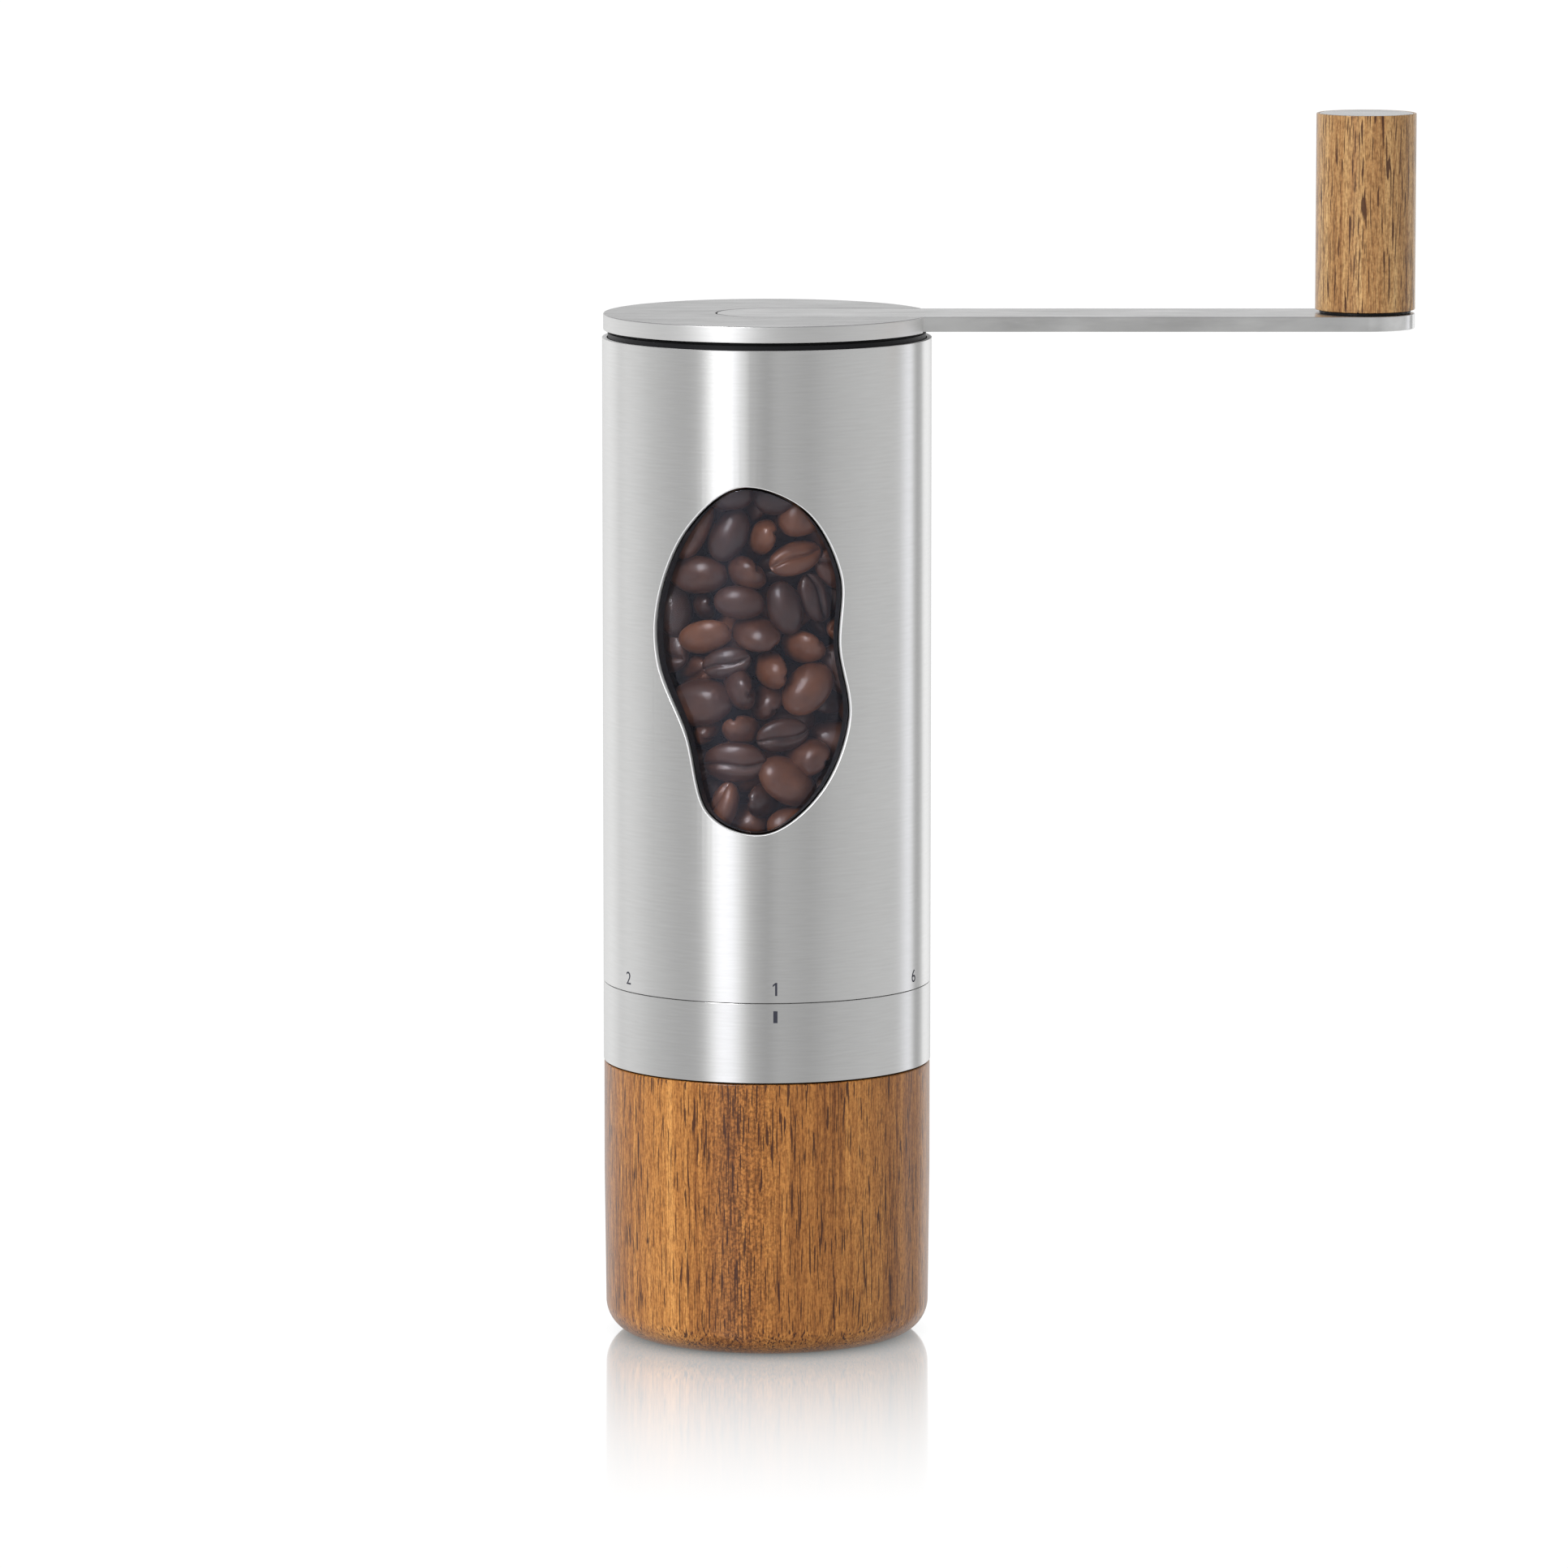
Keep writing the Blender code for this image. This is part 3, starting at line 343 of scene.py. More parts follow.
# %% [markdown]
# ## Oiled wood
# The cup and the knob are turned from a warm hardwood with its grain upright. Three things make it read
# as wood: broad soft bands from the growth rings, fine lines between them, and open pores, which are
# short dark dashes. All are noises that are squeezed across the grain and stretched along it, and the
# pores also dent the surface a little. Each colour is a linear one, so it looks lighter than its
# numbers suggest. On the cup, an upright band where the highlight falls has stronger, brighter speckle,
# which is a painted highlight. The cup also darkens towards the table, which is a painted shade.

# %% Make the woods
# How often each feature repeats in a metre, across the grain and along it.
GRAIN = {
    "sway": (30.0, 22.0),
    "broad": (110.0, 3.0),
    "lines": (1100.0, 10.0),
    "fibres": (4200.0, 140.0),
    "rows": (300.0, 30.0),
    "pores": (3700.0, 190.0),
    "flecks": (4600.0, 800.0),
    "stipple": (2500.0, 2100.0),
}
SWAY = 2.2 * MM
# Painted highlight: in an upright band at this x, where the highlight falls on the cup, the speckle is
# laid on more strongly, and its bright specks are lighter than the ground.
HIGHLIGHT_BAND_X, HIGHLIGHT_BAND_WIDTH = -4.5 * MM, 8 * MM


def wood(name, colours, seed, pore_depth, foot=0.0):
    """colours run from the darkest line to the lightest ground. foot is how far up the painted shade
    reaches: towards the table the wood's colour is darkened, as the table shades it."""
    oiled = Finish(name, colours[1], 0.4)

    def feature(kind, vector, detail=2.0, rough=0.5):
        across, along = GRAIN[kind]
        return oiled.noise(oiled.scaled(vector, (across, across, along)), 1.0, detail, rough)

    start = {"Vector": oiled.place, "Location": (seed * 0.031, seed * 0.017, 0)}
    place = oiled.node("ShaderNodeMapping", start).outputs[0]
    sideways = oiled.calc("MULTIPLY", feature("sway", place), SWAY)
    shift = oiled.node("ShaderNodeCombineXYZ", {"X": sideways}).outputs[0]
    grain = oiled.vector("ADD", {0: place, 1: shift})[0]
    broad = feature("broad", grain)
    lines = feature("lines", grain, 3.0, 0.65)
    fibres = feature("fibres", grain)
    tone = oiled.calc("ADD", oiled.calc("MULTIPLY", broad, 0.36), oiled.calc("MULTIPLY", lines, 0.40))
    tone = oiled.calc("ADD", tone, oiled.calc("MULTIPLY", fibres, 0.24))
    ground = oiled.ramp(tone, list(zip((0.37, 0.45, 0.54, 0.63), colours)))
    pores = feature("pores", place, 0.0)
    rows = feature("rows", grain, 1.0)
    wanted = oiled.calc("ADD", pores, oiled.calc("MULTIPLY", rows, 0.22))
    open_pores = oiled.ramp(wanted, [(0.76, 0.0), (0.80, 1.0)])
    flecks = feature("flecks", place, 1.0)
    fleck_shade = oiled.ramp(flecks, [(0.36, (0.40, 0.31, 0.25)), (0.52, (1, 1, 1))])
    colour = oiled.mix(0.6, ground, fleck_shade, "MULTIPLY")
    # Partly real speckle and partly painted highlight. A fifth of the speckle lies on all the wood, and
    # up to three fifths lies in the band. Its bright specks are lighter than the ground.
    stipple = feature("stipple", place, 1.0)
    speckle_and_glint = oiled.ramp(stipple, [(0.38, (0.30, 0.25, 0.21)), (0.60, (1.35, 1.32, 1.3))])
    x, _, z = oiled.node("ShaderNodeSeparateXYZ", {"Vector": oiled.place}).outputs
    off_highlight_band = oiled.calc("ABSOLUTE", oiled.calc("SUBTRACT", x, HIGHLIGHT_BAND_X))
    figure = oiled.calc("SUBTRACT", 1.0, oiled.calc("DIVIDE", off_highlight_band, HIGHLIGHT_BAND_WIDTH), clamp=True)
    amount = oiled.between(figure, 0.20, 0.62)
    colour = oiled.mix(amount, colour, speckle_and_glint, "MULTIPLY")
    colour = oiled.mix(oiled.calc("MULTIPLY", open_pores, 0.9), colour, (0.05, 0.015, 0.008))
    gloss = 0.7
    # Painted shade: below foot the colour darkens towards the table, to 0.42 at the very bottom, and
    # the coat fades with it.
    if foot:
        rise = oiled.calc("DIVIDE", z, foot, clamp=True)
        colour = oiled.mix(1.0, colour, oiled.ramp(rise, [(0.0, 0.42), (1.0, 1.0)]), "MULTIPLY")
        gloss = oiled.calc("MULTIPLY", rise, gloss)
    oiled.set(base_color=colour, roughness=oiled.between(lines, 0.38, 0.52))
    oiled.set(specular_ior_level=0.12, coat_weight=gloss, coat_roughness=0.2, coat_ior=1.36)
    height = oiled.calc("SUBTRACT", oiled.calc("MULTIPLY", flecks, 0.35), open_pores)
    oiled.bump(height, pore_depth)
    return oiled.made


CUP_COLOURS = [(0.18, 0.062, 0.016), (0.35, 0.136, 0.032), (0.49, 0.208, 0.050), (0.66, 0.310, 0.084)]
KNOB_COLOURS = [(0.19, 0.082, 0.030), (0.37, 0.190, 0.070), (0.49, 0.285, 0.115), (0.62, 0.40, 0.18)]
CUP_WOOD = wood("wood_cup_oiled", CUP_COLOURS, 3, 0.05 * MM, foot=4.0 * MM)
KNOB_WOOD = wood("wood_knob_oiled", KNOB_COLOURS, 8, 0.04 * MM)
print("made", CUP_WOOD.name, "and", KNOB_WOOD.name)

# %% [markdown]
# ## Plastics, rubber, ceramic and bright metals
# The hidden working parts need plain but honest finishes. Moulded plastic has a faint skin texture,
# ceramic burrs are dull and slightly speckled, and the turned metals have a fine even speckle. One
# function covers them all with a noise in roughness and bump.

# %% Make the small finishes
def fine_grained(name, colour, roughness, metallic=0.0, grain=2500.0, depth=0.01, spread=0.08):
    """depth is in millimetres, and spread is how far the roughness strays."""
    made = Finish(name, colour, roughness, metallic)
    speckle = made.noise(made.place, grain, 3.0, 0.6)
    darker = tuple(c * 0.9 for c in colour)
    made.set(base_color=made.ramp(speckle, [(0.3, darker), (0.7, colour)]))
    made.set(roughness=made.between(speckle, roughness - spread, roughness + spread))
    made.bump(speckle, depth * MM)
    made.set(specular_ior_level=0.2)
    return made.made


BLACK = fine_grained("plastic_black", (0.006, 0.006, 0.0075), 0.42)
RUBBER = fine_grained("rubber_black", (0.02, 0.02, 0.02), 0.7, grain=1500.0, depth=0.02)
CERAMIC = fine_grained("ceramic_burr", (0.8, 0.79, 0.75), 0.45, grain=900.0, depth=0.02)
BRONZE = fine_grained("bronze_bush", (0.6, 0.4, 0.2), 0.32, 1.0, grain=1200.0)
BRIGHT = fine_grained("steel_bright", (0.7, 0.7, 0.7), 0.26, 1.0, grain=1800.0)
# Partly real, partly painted highlight: the cut edges are white and about half diffuse, so they read
# bright whatever they reflect.
CUT_EDGE = fine_grained("steel_cut_edge_painted_glint", (1.0, 1.0, 1.0), 0.55, 0.45, 5000.0, 0.003, 0.05)
INK = fine_grained("dial_ink", (0.040, 0.042, 0.058), 0.5, grain=4000.0)
print("made seven small finishes")

# %% [markdown]
# ## Clear window plastic
# The window is a thick clear moulding. Light has to reach the beans behind it, but rays to a
# lamp can't bend through a solid window, so they pass straight through it: a Light Path node
# swaps the plastic for a transparent shader in shadow rays, and in the diffuse rays that the
# beans send out, so that no light is counted twice.

# %% Make the clear plastic
def clear_plastic():
    clear = Finish("plastic_clear", (0.93, 0.95, 1.0), 0.0)
    clear.set(transmission_weight=1.0, ior=1.47, specular_tint=(0.38, 0.39, 0.48, 1))
    smear = clear.noise(clear.scaled(clear.place, (220.0, 220.0, 70.0)), 1.0, 3.0)
    clear.set(roughness=clear.between(smear, 0.0, 0.008))
    output = clear.tree.nodes["Material Output"]
    through = clear.node("ShaderNodeBsdfTransparent", {"Color": (0.75, 0.76, 0.8, 1)})
    rays = clear.node("ShaderNodeLightPath")
    straight = clear.calc("MAXIMUM", rays.outputs["Is Shadow Ray"], rays.outputs["Is Diffuse Ray"])
    swap = clear.node("ShaderNodeMixShader", {0: straight})
    clear.put(swap.inputs[1], clear.shader.outputs[0])
    clear.put(swap.inputs[2], through.outputs[0])
    clear.put(output.inputs["Surface"], swap.outputs[0])
    return clear.made


CLEAR = clear_plastic()
print("made", CLEAR.name)

# %% [markdown]
# ## The steel tube with its window
# A hole in a curved wall could be cut with a Boolean, but that leaves ragged facets along a freeform
# edge. Instead the wall is drawn flat, as two faces round the hole, sliced into narrow upright strips,
# and only then bent round the axis. Every edge is then exact, and a small bevel along the rim of the
# hole catches the light as the real deburred edge does. All cut edges also get a white, half diffuse
# finish. This is a painted highlight that keeps the rim and the tube's ends bright all round.

# %% Draw the window's outline
WINDOW_OUTLINE = [
    (6.7, 24.8),
    (13.0, 14.0),
    (12.8, 2.0),
    (14.7, -10.0),
    (9.8, -21.7),
    (0.0, -29.0),
    (-10.3, -25.6),
    (-14.3, -12.7),
    (-20.0, -1.0),
    (-19.8, 9.7),
    (-14.0, 21.5),
    (-4.4, 28.7),
]
WINDOW_Z = 117.1 * MM
WINDOW_GAP = 0.5 * MM
CURVE_STEPS = 24


def closed_curve(points):
    """A smooth closed curve through the points (Catmull-Rom)."""
    curve, count = [], len(points)
    for i in range(count):
        a, b, c, d = (Vector(points[(i + k) % count]) for k in (-1, 0, 1, 2))
        for k in range(CURVE_STEPS):
            t = k / CURVE_STEPS
            cubic = (3 * b - a - 3 * c + d) * t**3
            curve.append((2 * b + (c - a) * t + (2 * a - 5 * b + 4 * c - d) * t * t + cubic) / 2)
    return curve


def window_outline(inset):
    """Points (along the wall, up), drawn in by the inset."""
    curve = [Vector((p.x * MM, WINDOW_Z + p.y * MM)) for p in closed_curve(WINDOW_OUTLINE)]
    drawn = []
    for i, p in enumerate(curve):
        along = (curve[(i + 1) % len(curve)] - curve[i - 1]).normalized()
        drawn.append(p + Vector((along.y, -along.x)) * inset)
    return drawn


lens_outline = window_outline(WINDOW_GAP)
low, high = min(p.y for p in lens_outline), max(p.y for p in lens_outline)
assert abs(low - LENS_BOX[0].z) < 0.2 * MM and abs(high - LENS_BOX[1].z) < 0.2 * MM
print(f"window {(high - low) * 1000:.1f} mm high")

# %% Bend flat sheets into walls
STRIP = math.tau * BODY_R / LOOK_STEPS
STRIP_MERGE = 0.1 * MM
END_BEVEL = 0.07 * MM
SQUARELY_OUT = 0.95  # a face that looks outward less squarely than this is a cut edge


def slice_upright(bm, reach):
    """Cuts the flat sheet into strips, and merges points that lie almost on a cut."""
    for i in range(-reach, reach + 1):
        everything = bm.verts[:] + bm.edges[:] + bm.faces[:]
        bmesh.ops.bisect_plane(bm, geom=everything, plane_co=(i * STRIP, 0, 0), plane_no=(1, 0, 0))
    bmesh.ops.remove_doubles(bm, verts=bm.verts, dist=STRIP_MERGE)


def thicken(bm, inner, outer, bevel, edge_slot=0):
    """Bends the flat sheet round the axis, gives it its wall and rounds its outer rims. The
    cut faces between the two skins get the piece's material number edge_slot."""
    for v in bm.verts:
        turn = v.co.x / BODY_R
        v.co = (outer * math.sin(turn), -outer * math.cos(turn), v.co.z)
    bmesh.ops.remove_doubles(bm, verts=bm.verts, dist=0.001 * MM)
    raised = bmesh.ops.extrude_face_region(bm, geom=bm.faces[:], use_keep_orig=True)
    inner_verts = {v for v in raised["geom"] if isinstance(v, bmesh.types.BMVert)}
    for v in inner_verts:
        v.co.x *= inner / outer
        v.co.y *= inner / outer
    rims = []
    for edge in bm.edges:
        if not inner_verts.isdisjoint(edge.verts) or len(edge.link_faces) != 2:
            continue
        if any(not inner_verts.isdisjoint(face.verts) for face in edge.link_faces):
            rims.append(edge)
    ends = min(v.co.z for v in bm.verts), max(v.co.z for v in bm.verts)
    at_end = [e for e in rims if any(all(abs(v.co.z - z) < 1e-6 for v in e.verts) for z in ends)]
    around = [e for e in rims if e not in set(at_end)]
    bmesh.ops.bevel(bm, geom=at_end, offset=END_BEVEL, segments=2, affect="EDGES", profile=0.5)
    bmesh.ops.bevel(bm, geom=around, offset=bevel, segments=4, affect="EDGES", profile=0.5)
    bm.normal_update()
    for face in bm.faces:
        middle = face.calc_center_median()
        outward = Vector((middle.x, middle.y, 0)).normalized()
        if abs(face.normal.dot(outward)) < SQUARELY_OUT:
            face.material_index = edge_slot
    return bm


def wall_with_hole(inner, outer, low, high, outline, bevel, edge_slot=0):
    bm = bmesh.new()
    half = math.pi * BODY_R
    top = max(range(len(outline)), key=lambda i: outline[i].y)
    bottom = min(range(len(outline)), key=lambda i: outline[i].y)
    hole = [bm.verts.new((p.x, 0, p.y)) for p in outline]
    over = bm.verts.new((outline[top].x, 0, high))
    under = bm.verts.new((outline[bottom].x, 0, low))

    def side(start, end):
        return hole[start : end + 1] if start < end else hole[start:] + hole[: end + 1]

    right = [bm.verts.new((half, 0, low)), bm.verts.new((half, 0, high))]
    left = [bm.verts.new((-half, 0, high)), bm.verts.new((-half, 0, low))]
    bm.faces.new([under] + right + [over] + side(top, bottom))
    bm.faces.new([over] + left + [under] + side(bottom, top))
    slice_upright(bm, LOOK_STEPS // 2)
    return thicken(bm, inner, outer, bevel, edge_slot)


def plate_in_hole(inner, outer, outline, bevel, edge_slot=0):
    bm = bmesh.new()
    bm.faces.new([bm.verts.new((p.x, 0, p.y)) for p in outline])
    slice_upright(bm, LOOK_STEPS // 4)
    return thicken(bm, inner, outer, bevel, edge_slot)


TUBE_WALL = 0.75 * MM
TUBE_LOOK_R = BODY_R - PRINT
TUBE_LOOK_IN = TUBE_LOOK_R - TUBE_WALL
TUBE_HOLE, SLEEVE_HOLE = 0.12 * MM, 0.2 * MM  # how far each hole is drawn in
RIM_ROUND = 0.2 * MM
SEAM = 0.14 * MM
TOP_DROP = 0.2 * MM
hole = window_outline(TUBE_HOLE)
low, high = RING_HIGH + SEAM, TUBE_HIGH - TOP_DROP
bm = wall_with_hole(TUBE_LOOK_IN, TUBE_LOOK_R, low, high, hole, RIM_ROUND, edge_slot=1)
print("tube wall:", len(bm.faces), "faces")
tube = add_piece("steel_tube", bm, "mill_body", STEEL_ROUND)
# The cut edges take the white half-diffuse steel, which is a painted highlight.
tube.data.materials.append(CUT_EDGE)
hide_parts("body_tube")

# %% [markdown]
# ## The lens and the black sleeve
# Behind the steel a black sleeve lines the hopper. It has a hole of the same outline, in
# which the clear lens sits a little below the steel, so a thin black line frames the lens.

# %% Make the sleeve and the lens
SLEEVE_WALL = 1.95 * MM
SLEEVE_IN = SLEEVE_R - SLEEVE_WALL
SLEEVE_ROUND, LENS_ROUND = 0.1 * MM, 0.15 * MM
hole = window_outline(SLEEVE_HOLE)
bm = wall_with_hole(SLEEVE_IN, SLEEVE_R, SLEEVE_LOW, SLEEVE_HIGH, hole, SLEEVE_ROUND)
sleeve = add_piece("hopper_liner", bm, "mill_body", BLACK)
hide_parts("hopper_sleeve")

bm = plate_in_hole(SLEEVE_IN, LENS_R, lens_outline, LENS_ROUND, edge_slot=1)
lens = add_piece("clear_lens", bm, "mill_body", CLEAR)
lens.data.materials.append(BLACK)
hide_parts("window_lens")
print("lens:", len(lens.data.polygons), "faces")

# %% [markdown]
# ## The adjusting ring and the wooden cup
# Both are plain turned shells. The ring ends in a hairline against the tube. The cup rounds
# into its base with a generous radius, and its rim is broken just enough to feel soft.

# %% Turn the ring and the cup
profile = ring_profile(TUBE_LOOK_IN, TUBE_LOOK_R, RING_LOW, RING_HIGH)
ring = add_piece("steel_ring", lathe(rounded(profile, END_BEVEL)), "adjuster", STEEL_RING)
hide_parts("adjust_ring")

FOOT = 5.5 * MM
FOOT_STEPS = 20
CUP_WALL, CUP_FLOOR, CUP_TAPER = 3.5 * MM, 5.0 * MM, 0.25 * MM
TAPER_HIGH = CUP_HIGH * 0.6  # above this the cup is straight
CUP_SOFT = 0.3 * MM
foot_r = CUP_R - CUP_TAPER
profile = [(0, 0), (foot_r - FOOT, 0)]
for i in range(1, FOOT_STEPS + 1):
    a = -math.pi / 2 * (1 - i / FOOT_STEPS)
    profile.append((foot_r - FOOT + FOOT * math.cos(a), FOOT + FOOT * math.sin(a)))
profile += [(CUP_R, TAPER_HIGH), (CUP_R, CUP_HIGH), (CUP_R - CUP_WALL, CUP_HIGH)]
profile += [(CUP_R - CUP_WALL, CUP_FLOOR), (0, CUP_FLOOR)]
cup = add_piece("wooden_cup", lathe(rounded(profile, CUP_SOFT)), "cup", CUP_WOOD)
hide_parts("wood_cup")
print("cup:", len(cup.data.polygons), "faces")

# %% [markdown]
# ## The crank
# The crank is two flat pieces: a disc with a slot, and an arm whose round end lies flush in the slot,
# so that only a hairline shows. Each is an outline in plan, raised to its thickness and bevelled. The
# outlines are worked out from the radii and the arm's width. The walls of the slot, and the arm's walls
# inside it, are black. This is a painted shade for the dark of the deep narrow gap. The disc's rim is
# duller.

# %% Cut the disc and the arm
INLAY = 0.28 * MM
PLATE_BEVEL = 0.15 * MM
RIM_BAND = 1 * MM
DISC_STEPS, END_STEPS = 160, 48


def raised_outline(outline, low, high):
    bm = bmesh.new()
    face = bm.faces.new([bm.verts.new((x, y, low)) for x, y in outline])
    raised = bmesh.ops.extrude_face_region(bm, geom=[face], use_keep_orig=True)
    tops = [v for v in raised["geom"] if isinstance(v, bmesh.types.BMVert)]
    bmesh.ops.translate(bm, verts=tops, vec=(0, 0, high - low))
    flat = [e for e in bm.edges if abs(e.verts[0].co.z - e.verts[1].co.z) < 1e-7]
    bmesh.ops.bevel(bm, geom=flat, offset=PLATE_BEVEL, segments=3, affect="EDGES", profile=0.5)
    return bm


def arc_points(x, radius, start, end, count):
    steps = [start + (end - start) * i / count for i in range(count + 1)]
    return [(x + radius * math.cos(a), radius * math.sin(a)) for a in steps]


slot_half = ARM_HALF + INLAY
mouth = math.asin(slot_half / DISC_R)
disc_outline = arc_points(0, DISC_R, mouth, math.tau - mouth, DISC_STEPS)
disc_outline += arc_points(0, slot_half, math.pi * 1.5, math.pi * 0.5, END_STEPS)
bm = raised_outline(disc_outline, DISC_LOW, DISC_HIGH)
disc = add_piece("crank_plate", bm, "crank", STEEL_DISC)
disc.data.materials.append(STEEL_SIDE)
disc.data.materials.append(BLACK)
# Painted shade: the slot's walls take the black plastic, for the dark of the narrow gap.
for face in disc.data.polygons:
    on_rim = math.hypot(face.center.x, face.center.y) > DISC_R - RIM_BAND
    face.material_index = 0 if abs(face.normal.z) > 0.5 else (1 if on_rim else 2)
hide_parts("crank_disc")

arm_outline = arc_points(0, ARM_HALF, math.pi * 0.5, math.pi * 1.5, END_STEPS)
arm_outline += arc_points(ARM_REACH, ARM_HALF, -math.pi * 0.5, math.pi * 0.5, END_STEPS)
bm = raised_outline(arm_outline, ARM_BOX[0].z, ARM_BOX[1].z)
arm = add_piece("crank_bar", bm, "crank", STEEL_FLAT)
arm.data.materials.append(BLACK)
# Painted shade: the arm's walls inside the slot take the black plastic, for the dark of the gap.
for face in arm.data.polygons:
    let_in = math.hypot(face.center.x, face.center.y) < DISC_R - RIM_BAND
    face.material_index = int(let_in and abs(face.normal.z) < 0.3)
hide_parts("crank_arm")
print("crank:", len(disc.data.polygons) + len(arm.data.polygons), "faces")

# %% [markdown]
# ## The knob
# The knob is a turned wooden cylinder that spins on a pin. A thin steel disc is let into its
# top, flush with the wood, and a black washer keeps the wood off the arm.

# %% Turn the knob
BORE_GAP, POCKET_GAP, CAP_GAP, PLUG_GAP = 0.15 * MM, 0.5 * MM, 0.12 * MM, 0.3 * MM
LEDGE_DEPTH, CAP_THICKNESS = 1.3 * MM, 1.0 * MM
KNOB_SOFT, CAP_SOFT = 0.2 * MM, 0.1 * MM

bore = span("knob_sleeve")[0] + BORE_GAP
pocket_r, pocket_low = span("knob_pin")[0] + POCKET_GAP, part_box("knob_sleeve")[1].z
let_in_r, ledge = CAP_R + CAP_GAP, KNOB_WOOD_HIGH - LEDGE_DEPTH
profile = [(bore, KNOB_LOW), (KNOB_R, KNOB_LOW), (KNOB_R, KNOB_WOOD_HIGH), (let_in_r, KNOB_WOOD_HIGH)]
profile += [(let_in_r, ledge), (pocket_r, ledge), (pocket_r, pocket_low), (bore, pocket_low)]
bm = lathe(rounded(profile, KNOB_SOFT), x=ARM_REACH)
knob = add_piece("wooden_knob", bm, "knob", KNOB_WOOD)
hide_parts("knob_grip")

plug_r, cap_under = pocket_r - PLUG_GAP, CAP_HIGH - CAP_THICKNESS
profile = [(0, CAP_LOW), (plug_r, CAP_LOW), (plug_r, cap_under), (CAP_R, cap_under)]
profile += [(CAP_R, CAP_HIGH), (0, CAP_HIGH)]
bm = lathe(rounded(profile, CAP_SOFT), x=ARM_REACH)
cap = add_piece("steel_cap", bm, "knob", STEEL_FLAT)
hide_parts("knob_cap")
print("knob and cap:", len(knob.data.polygons) + len(cap.data.polygons), "faces")

# %% [markdown]
# ## Finishes for the working parts
# The pieces inside keep the CAD's shapes, which are right, and only change their finish.

# %% Paint the remaining CAD pieces
PAINT = {
    "black_plastic": BLACK,
    "seal_rubber": RUBBER,
    "burr_ceramic": CERAMIC,
    "bush_bronze": BRONZE,
    "bright_steel": BRIGHT,
    "brushed_steel": STEEL_ROUND,
    "clear_plastic": CLEAR,
    "cup_wood": CUP_WOOD,
    "knob_wood": KNOB_WOOD,
}
CAD_SOFT_UNDER = math.radians(30)
for part in frame["record"]["subparts"]:
    mesh = frame["nodes"][part["node"]].data
    mesh.materials.clear()
    mesh.materials.append(PAINT[part["material_slot"]])
    mesh.shade_smooth()
    mesh.set_sharp_from_angle(angle=CAD_SOFT_UNDER)

# %% [markdown]
# ## Coffee beans
# A roasted bean is half an egg: round on one side, and nearly flat on the other with a crease
# from end to end. The mesh has its poles at the bean's two ends, and more of its lines near
# the crease, where the shape changes fastest.

# %% Shape one bean
def bean_mesh():
    """Points and faces of a bean 10 mm long, about its middle, with its crease underneath."""
    length, width, back, belly = 5.0, 3.75, 3.1, 1.9
    crease_width, crease_depth, crease_sway = 0.42, 1.05, 0.35
    rings, sides = 13, 26
    turns = []
    for k in range(sides):
        t = k / sides * 2 - 1
        turns.append(-math.pi / 2 + math.pi * math.copysign(abs(t) ** 1.35, t))
    points, faces = [(-length, 0, 0)], []
    for i in range(1, rings):
        u = math.pi * i / rings
        x, thin = -length * math.cos(u), math.sin(u) ** 0.92
        for a in turns:
            y = width * thin * math.cos(a)
            z = thin * math.sin(a) * (back if math.sin(a) > 0 else belly)
            wave = crease_sway * math.sin(x * 0.75)
            groove = math.exp(-(((y - wave) / crease_width) ** 2)) if math.sin(a) < 0 else 0
            points.append((x, y, z + crease_depth * groove * thin**0.5))
    points.append((length, 0, 0))
    for k in range(sides):
        j = (k + 1) % sides
        faces.append((0, 1 + j, 1 + k))
        for i in range(rings - 2):
            a, b = 1 + i * sides, 1 + (i + 1) * sides
            faces.append((a + k, a + j, b + j, b + k))
        last = 1 + (rings - 2) * sides
        faces.append((last + k, last + j, len(points) - 1))
    return np.array(points) * MM, faces


bean_points, bean_faces = bean_mesh()
print("bean:", len(bean_faces), "faces")

# %% [markdown]
# ## Filling the hopper
# Beans poured into a hopper lie in a random heap, nearly touching. A rigid body simulation
# could drop them in, but a simple loop is quicker: each bean is two overlapping balls on its
# long axis, and the balls push each other, the wall, the shaft and the floor apart until
# the heap has settled. Only the beans that could be seen are kept.

# %% Settle the beans
rng = np.random.default_rng(11)
BEAN_COUNT = 450
HEAP_LOW, HEAP_HIGH = SLEEVE_LOW + 1 * MM, LENS_BOX[1].z + 7 * MM
BALL_R, BALL_APART = 3.05 * MM, 1.75 * MM
SHAFT_CLEAR = span("drive_shaft")[0] + 0.8 * MM
WALL_CLEAR = SLEEVE_IN - 0.3 * MM
ROUNDS = 160
PUSH, SWING = 0.25, 0.8  # how much of each overlap is undone in a round, by moving and turning


def random_axes(count):
    axes = rng.normal(size=(count, 3)) * (1, 1, 0.28)
    return axes / np.linalg.norm(axes, axis=1, keepdims=True)


